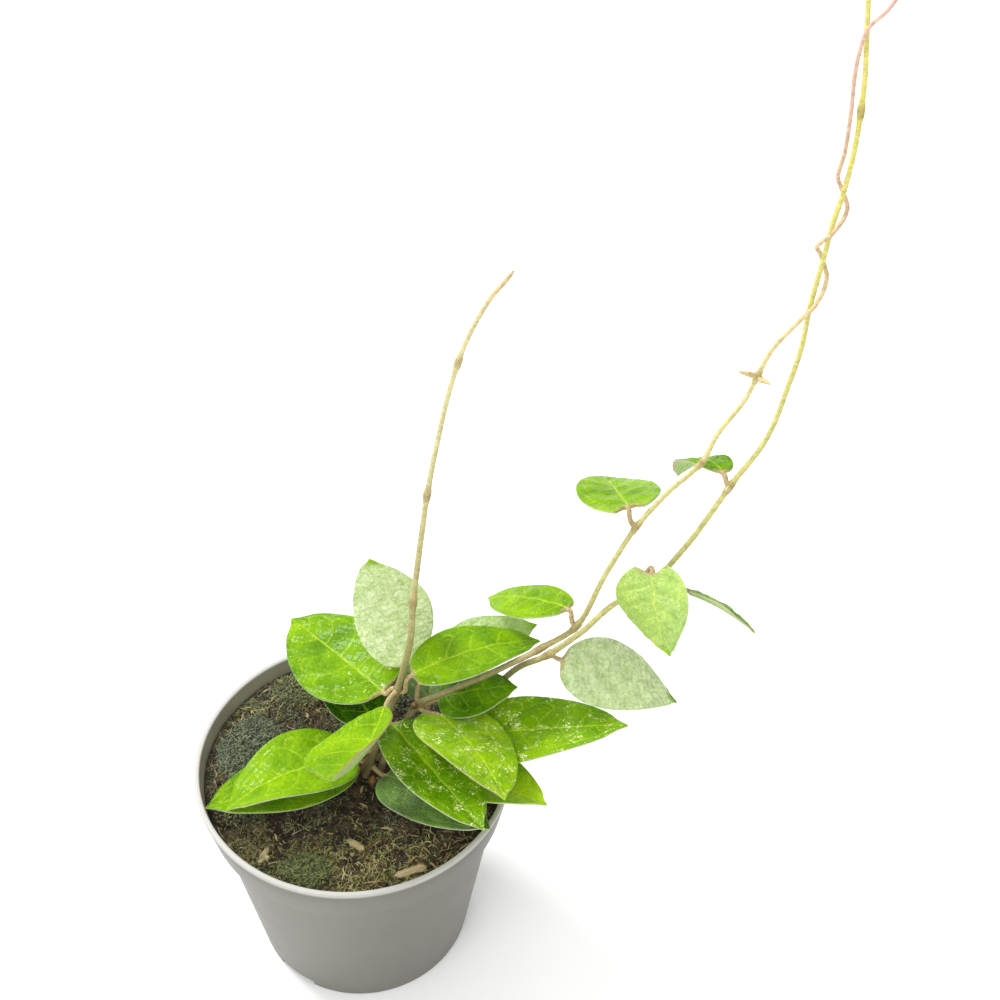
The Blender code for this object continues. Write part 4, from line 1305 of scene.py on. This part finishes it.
def strands(rng, x, y, length, radius, lift, curl, sides=4, steps=7, stand=0.0):
    """(points, faces, points of each) of thin bent strands. stand is how steeply they rise, 0 to 1."""
    count = len(x)
    heading = rng.uniform(0, 2 * np.pi, count)
    t = np.linspace(0, 1, steps)
    turn = heading[:, None] + curl[:, None] * t[None, :]
    step = length[:, None] / (steps - 1)
    rise = np.sin(stand * np.pi / 2) * np.ones((count, steps)) * (1 - 0.5 * t[None, :])
    level = np.sqrt(1 - rise**2)
    start_back = length[:, None] * 0.4 * (1 - stand)
    px = x[:, None] + np.cumsum(np.cos(turn) * step * level, axis=1) - np.cos(turn[:, :1]) * start_back
    py = y[:, None] + np.cumsum(np.sin(turn) * step * level, axis=1) - np.sin(turn[:, :1]) * start_back
    outside = np.maximum(1, np.hypot(px, py) / STRAND_EDGE)
    px, py = px / outside, py / outside
    ground = soil_height(px, py) + soil_relief(px.ravel(), py.ravel()).reshape(px.shape)
    bow = lift[:, None] * np.sin(np.pi * t[None, :]) if stand == 0 else np.cumsum(rise * step, axis=1)
    centre = np.stack([px, py, (ground if stand == 0 else ground[:, :1]) + bow], axis=2)
    ahead = np.gradient(centre, axis=1)
    ahead = unit(ahead + 1e-6)
    side = unit(np.cross(ahead, np.array([0.0, 0.0, 1.0])) + 1e-6)
    up = np.cross(side, ahead)
    spin = circle(sides)
    taper = 1 - 0.75 * t**2 if stand else 1 - 0.5 * (2 * t - 1) ** 4
    thick = radius[:, None] * taper[None, :]
    rings = (
        centre[:, :, None, :]
        + thick[:, :, None, None] * np.cos(spin)[None, None, :, None] * side[:, :, None, :]
        + thick[:, :, None, None] * np.sin(spin)[None, None, :, None] * up[:, :, None, :]
    )
    points = rings.reshape(-1, 3)
    each = steps * sides
    first = (np.arange(count) * each)[:, None, None]
    faces = [(group[None] + first).reshape(-1, group.shape[1]) for group in ring_faces(steps, sides)]
    return points, faces, each


def litter_share(x, y):
    """How much pale litter lies at a point of the soil: most along the front and at the back left."""
    front = smooth_step(-18.0, -40.0, y)
    back_left = smooth_step(8.0, 36.0, y) * smooth_step(0.0, -22.0, x)
    left = smooth_step(-24.0, -44.0, x)
    patches = 0.25 + 0.75 * smooth_step(-0.25, 0.25, rough(on_plane(x, y), 15.0, 2, 9))
    return np.clip(0.10 + patches * (0.95 * front + 0.95 * back_left + 0.45 * left), 0, 1)


def make_fibres(material):
    """Fibres, straw and root hairs lying over the soil."""
    rng = np.random.default_rng(SEED + 200)
    x, y = scatter_places(rng, FIBRES)
    keep = rng.uniform(0, 1, len(x)) < litter_share(x, y)
    x, y = x[keep], y[keep]
    count = len(x)
    length = 1.0 + 5.5 * rng.uniform(0, 1, count) ** 3
    radius = 0.06 + 0.11 * rng.uniform(0, 1, count) ** 3
    points, faces, each = strands(
        rng, x, y, length, radius,
        0.2 + rng.uniform(0, 1.1, count), rng.normal(0, 1.4, count), sides=3, steps=6,
    )
    tone = pick_tones(rng, count, FIBRE_COLOURS, 0.6, 1.5)
    return new_litter("soil_fibres", points, faces, each, tone, material)


def make_splinters(material):
    """Pale wood splinters, most of them at the front right."""
    rng = np.random.default_rng(SEED + 250)
    x, y = scatter_places(rng, SPLINTERS)
    wanted = 0.08 + 0.6 * smooth_step(0.0, 30.0, x) * smooth_step(-10.0, -34.0, y)
    keep = rng.uniform(0, 1, len(x)) < wanted
    x, y = x[keep], y[keep]
    count = len(x)
    length = 2.0 + 5.0 * rng.uniform(0, 1, count) ** 1.5
    radius = 0.18 + 0.30 * rng.uniform(0, 1, count) ** 2
    points, faces, each = strands(
        rng, x, y, length, radius,
        0.3 + rng.uniform(0, 0.7, count), rng.normal(0, 0.25, count), sides=5, steps=6,
    )
    tone = linear(196, 172, 126) * rng.uniform(0.45, 1.15, (count, 1))
    return new_litter("soil_splinters", points, faces, each, tone, material)


# Moss colours by pad: darkest, lightest
MOSS_TONES = {
    "moss_pad_left": ((58, 70, 46), (168, 180, 132)),
    "moss_pad_back": ((70, 78, 36), (184, 184, 112)),
    "moss_pad_front": ((66, 80, 32), (182, 190, 98)),
    "moss_pad_right": ((48, 62, 30), (112, 126, 66)),
}


def make_moss(name, x, y, radius, squash, material):
    """A pad of moss: a lumpy cushion covered with small pointed shoots."""
    rng = np.random.default_rng(SEED + 300 + len(name) + int(abs(x)))
    rings, spokes = 22, 72
    turns = circle(spokes)
    wave = 1 + 0.10 * np.sin(3 * turns + x) + 0.07 * np.sin(5 * turns + y) + 0.04 * np.sin(11 * turns)
    rows = []
    for step in np.linspace(1.0, 0.03, rings):
        px = x + radius * step * wave * np.cos(turns)
        py = y + radius * step * wave * np.sin(turns) * squash
        flat = on_plane(px, py)
        height = 0.1 + MOSS_HEIGHT * math.sqrt(1 - step**2) * (0.75 + 0.5 * rough(flat, 3.5, 2, 5))
        height = height + 0.35 * rough(flat, 1.1, 2, 6) - 0.5 * smooth_step(0.9, 1.0, step)
        rows.append(np.column_stack([px, py, soil_height(px, py) + height]))
    under = []
    for row in (rows[-1], rows[0]):
        under.append(np.column_stack([row[:, :2], soil_height(row[:, 0], row[:, 1]) - 1.0]))
    cushion = np.concatenate([*under, *rows])
    faces = ring_faces(len(rows) + 2, spokes)
    low, high = (linear(*colour) for colour in MOSS_TONES[name])
    tones = [np.tile(low * 0.8, (len(cushion), 1))]

    count = int(9 * radius * radius * squash)
    reach = np.sqrt(rng.uniform(0, 1, count))
    turn = rng.uniform(0, 2 * np.pi, count)
    px = x + radius * reach * np.cos(turn)
    py = y + radius * reach * np.sin(turn) * squash
    points, shoots, each = strands(
        rng, px, py, 0.8 + 1.3 * rng.uniform(0, 1, count), 0.16 + 0.12 * rng.uniform(0, 1, count),
        np.zeros(count), rng.normal(0, 1.0, count), sides=3, steps=4, stand=0.62,
    )
    points = points.reshape(count, each, 3)
    points[:, :, 2] += (0.15 + 0.85 * MOSS_HEIGHT * np.sqrt(1 - reach**2))[:, None] * 0.9
    offset = len(cushion)
    faces = faces + [group + offset for group in shoots]
    share = rng.uniform(0, 1, (count, 1)) ** 1.1
    tones.append(np.repeat(low + (high - low) * share, each, axis=0))
    points = np.concatenate([cushion, points.reshape(-1, 3)])
    return new_piece(f"look_{name}", points, faces, material, name, {"tone": np.concatenate(tones)})


def make_loose_moss(material):
    """Thin moss and seedlings over the left half and the back of the soil."""
    rng = np.random.default_rng(SEED + 400)
    x, y = scatter_places(rng, LOOSE_SHOOTS)
    wanted = rough(on_plane(x, y), 12.0, 3, 8)
    wanted = wanted + 0.35 * smooth_step(10.0, -40.0, x) + 0.15 * smooth_step(-20.0, -50.0, y)
    wanted = wanted + 0.25 * (litter_share(x, y) - 0.5)
    keep = wanted > 0.22
    x, y = x[keep], y[keep]
    count = len(x)
    points, faces, each = strands(
        rng, x, y, 0.6 + 1.2 * rng.uniform(0, 1, count), 0.13 + 0.10 * rng.uniform(0, 1, count),
        np.zeros(count), rng.normal(0, 1.0, count), sides=3, steps=4, stand=0.55,
    )
    front = smooth_step(-10.0, -45.0, y)[:, None]
    low = linear(56, 68, 48) * (1 - front) + linear(92, 100, 40) * front
    high = linear(160, 172, 126) * (1 - front) + linear(204, 202, 112) * front
    tone = low + (high - low) * rng.uniform(0, 1, (count, 1)) ** 1.2
    return new_litter("loose_moss", points, faces, each, tone, material)


def make_chip(name, x, y, length, width, turn_degrees, material):
    """A splinter of bark: layered along its grain, with torn ends."""
    rng = np.random.default_rng(SEED + 500 + int(name[-1]))
    turn = math.radians(turn_degrees)
    rows, sides = 26, 22
    spin = circle(sides)
    t = np.linspace(-1, 1, rows)
    full = np.clip(1 - np.abs(t) ** 6, 0.12, 1) * (1 + 0.10 * np.sin(5 * t + x) + 0.06 * np.sin(13 * t))
    grain = 1 + 0.10 * rng.normal(size=sides)
    lay = 0.10 * np.sin(7 * t[:, None] + 3 * spin[None, :])
    across = np.sign(np.cos(spin)) * np.abs(np.cos(spin)) ** 0.6
    up = np.sign(np.sin(spin)) * np.abs(np.sin(spin)) ** 0.6
    half = 0.36 * width * full[:, None] * (grain[None, :] + lay)
    thick = 0.36 * BARK_THICKNESS * full[:, None] ** 0.5 * (grain[None, :] + lay)
    dx = 0.5 * length * t[:, None] + 0.25 * rng.normal(size=(1, sides)) * np.abs(t[:, None]) ** 3
    dy = half * across[None, :]
    px = x + dx * math.cos(turn) - dy * math.sin(turn)
    py = y + dx * math.sin(turn) + dy * math.cos(turn)
    pz = soil_height(x, y) + 0.9 + thick * up[None, :] + 0.3 * np.sin(2 * t[:, None])
    points = np.stack([px, py, pz], axis=2).reshape(-1, 3)
    streaks = np.tile(0.75 + 0.5 * rng.uniform(0, 1, sides), rows)
    tone = linear(196, 174, 132) * streaks[:, None]
    return new_piece(f"look_{name}", points, ring_faces(rows, sides), material, name, {"tone": tone})


# ---------------------------------------------------------------- buds


def make_bud(name, path, radii, colours, material, node):
    """A small pointed shoot wrapped in scales."""
    fine = smooth_path(path, 0.22)
    share = np.linspace(0, 1, len(fine))
    radius = np.interp(share, np.linspace(0, 1, len(radii)), radii)
    turns = circle(STEM_SIDES)
    scales = 1 + 0.14 * np.abs(np.sin(share[:, None] * 11 + np.sin(turns)[None, :] * 1.6))
    points = tube(fine, radius[:, None] * scales, STEM_SIDES).reshape(-1, 3)
    low, high = colours
    tone = low + (high - low) * share[:, None]
    tone = np.repeat(tone, STEM_SIDES, axis=0)
    layers = {"tone": tone, "wood": np.full(len(points), 0.35)}
    return new_piece(f"look_{name}", points, ring_faces(len(fine), STEM_SIDES), material, node, layers)


def make_buds(stems, material):
    """The shoots and the stub on the stems, and the bud at their feet."""
    for name, (stem_name, node, direction, length, radius) in BUDS.items():
        towards = unit(np.array(direction, float))
        start, leaving = leave_stem(stems[stem_name], node, towards, 0.4)
        end = start + leaving * length * 0.55 + towards * length * 0.5
        path = (start, start + leaving * length * 0.25, start + 0.6 * (end - start), end)
        radii = (radius, radius * 1.1, radius * 0.95, radius * 0.7, radius * 0.25)
        colours = (linear(206, 190, 124), linear(232, 210, 156))
        if name == "old_stub":
            radii = (radius, radius * 0.9, radius * 0.9, radius * 0.95, radius * 0.7)
            colours = (linear(128, 92, 62), linear(150, 108, 76))
        make_bud(name, path, radii, colours, material, name)
    x, y = BASAL_BUD_PLACE
    bottom = soil_height(x, y) - 0.3
    path = [(x + 0.1 * height, y, bottom + height) for height in (0.0, 1.6, 3.4, 5.3)]
    colours = (linear(104, 76, 48), linear(176, 122, 74))
    make_bud("basal_bud", path, (0.9, 1.3, 1.4, 0.9, 0.3), colours, material, "basal_bud")


# ---------------------------------------------------------------- studio


def make_sky():
    """Soft light from a bright ceiling and a dimmer horizon, behind a plain white backdrop."""
    world = bpy.data.worlds.new("studio")
    world.use_nodes = True
    tree = world.node_tree
    light = tree.nodes["Background"]
    backdrop = tree.nodes.new("ShaderNodeBackground")
    backdrop.inputs["Color"].default_value = (1.0, 1.0, 1.0, 1.0)
    place = tree.nodes.new("ShaderNodeTexCoord").outputs["Generated"]
    parts = tree.nodes.new("ShaderNodeSeparateXYZ")
    tree.links.new(place, parts.inputs[0])
    ceiling = tree.nodes.new("ShaderNodeMapRange")
    ceiling.interpolation_type = "SMOOTHSTEP"
    limits = {"From Min": 0.1, "From Max": 0.9, "To Min": SKY_HORIZON, "To Max": SKY_CEILING}
    for key, value in limits.items():
        ceiling.inputs[key].default_value = value
    tree.links.new(parts.outputs["Z"], ceiling.inputs["Value"])
    tree.links.new(ceiling.outputs["Result"], light.inputs["Strength"])
    light.inputs["Color"].default_value = (1.0, 1.0, 1.0, 1.0)
    both = tree.nodes.new("ShaderNodeMixShader")
    rays = tree.nodes.new("ShaderNodeLightPath")
    tree.links.new(rays.outputs["Is Camera Ray"], both.inputs[0])
    tree.links.new(light.outputs[0], both.inputs[1])
    tree.links.new(backdrop.outputs[0], both.inputs[2])
    tree.links.new(both.outputs[0], tree.nodes["World Output"].inputs["Surface"])
    bpy.context.scene.world = world


def make_floor():
    """A plain white floor."""
    mesh = bpy.data.meshes.new("studio_floor")
    corners = [(x * FLOOR_HALF, y * FLOOR_HALF, 0) for x, y in ((-1, -1), (1, -1), (1, 1), (-1, 1))]
    mesh.from_pydata(corners, [], [(0, 1, 2, 3)])
    floor = bpy.data.objects.new("studio_floor", mesh)
    bpy.context.scene.collection.objects.link(floor)
    mesh.materials.append(floor_material())


def make_lamps():
    """Two soft lamps: one from behind on the left, and a weaker one from the front."""
    for name, place, size, power in (
        ("key_lamp", (-0.75, 0.55, 1.15), 0.5, 13.0),
        ("fill_lamp", (-0.5, -0.9, 0.9), 0.9, 5.0),
    ):
        lamp = bpy.data.lights.new(name, "AREA")
        lamp.shape = "DISK"
        lamp.size = size
        lamp.energy = power
        obj = bpy.data.objects.new(name, lamp)
        obj.location = place
        obj.rotation_mode = "QUATERNION"
        obj.rotation_quaternion = (Vector(AIM) - Vector(place)).to_track_quat("-Z", "Y")
        bpy.context.scene.collection.objects.link(obj)


def make_camera():
    """The camera, and colours shown as they are."""
    data = bpy.data.cameras.new("camera")
    data.sensor_width = SENSOR
    data.lens = CAMERA_LENS
    data.clip_start, data.clip_end = 0.01, 20.0
    pitch, roll = math.radians(CAMERA_PITCH), math.radians(CAMERA_ROLL)
    forward = Vector((0.0, math.cos(pitch), -math.sin(pitch)))
    level = Vector((1.0, 0.0, 0.0))
    upright = Vector((0.0, math.sin(pitch), math.cos(pitch)))
    right = math.cos(roll) * level + math.sin(roll) * upright
    up = math.cos(roll) * upright - math.sin(roll) * level
    turn = Matrix((right, up, -forward)).transposed()
    camera = bpy.data.objects.new("camera", data)
    camera.matrix_world = Matrix.Translation(CAMERA_PLACE) @ turn.to_4x4()
    bpy.context.scene.collection.objects.link(camera)
    scene = bpy.context.scene
    scene.camera = camera
    scene.view_settings.view_transform = "Standard"
    scene.view_settings.look = "None"
    scene.view_settings.exposure = 0.0
    scene.view_settings.gamma = 1.0


def build():
    """Makes every piece, then the studio."""
    stems = {
        "tendril": TENDRIL,
        "twining_vine": Stem(
            points=twined_points(), start_radius=1.8, end_radius=0.55, nodes=TWINING_NODES, swelling=0.35,
        ),
        "straight_vine": STRAIGHT_VINE,
        "dry_stem": DRY_STEM,
    }
    skin, blade = stem_material(), leaf_material()
    bit, moss = litter_material("litter", 0.0), litter_material("moss_shoots", 0.3)
    make_pot()
    make_soil(earth_material())
    make_crumbs(bit)
    make_fibres(bit)
    make_splinters(bit)
    for name, pad in MOSS_PADS.items():
        make_moss(name, *pad, moss)
    make_loose_moss(moss)
    for name, chip in BARK_CHIPS.items():
        make_chip(name, *chip, bit)
    for seed, (name, stem) in enumerate(stems.items()):
        make_stem(name, stem, STEM_COLOURS[name], skin, seed)
    for name, leaf in LEAVES.items():
        make_leaf(name, leaf, stems, blade)
    make_buds(stems, skin)
    make_floor()
    make_sky()
    make_lamps()
    make_camera()


build()
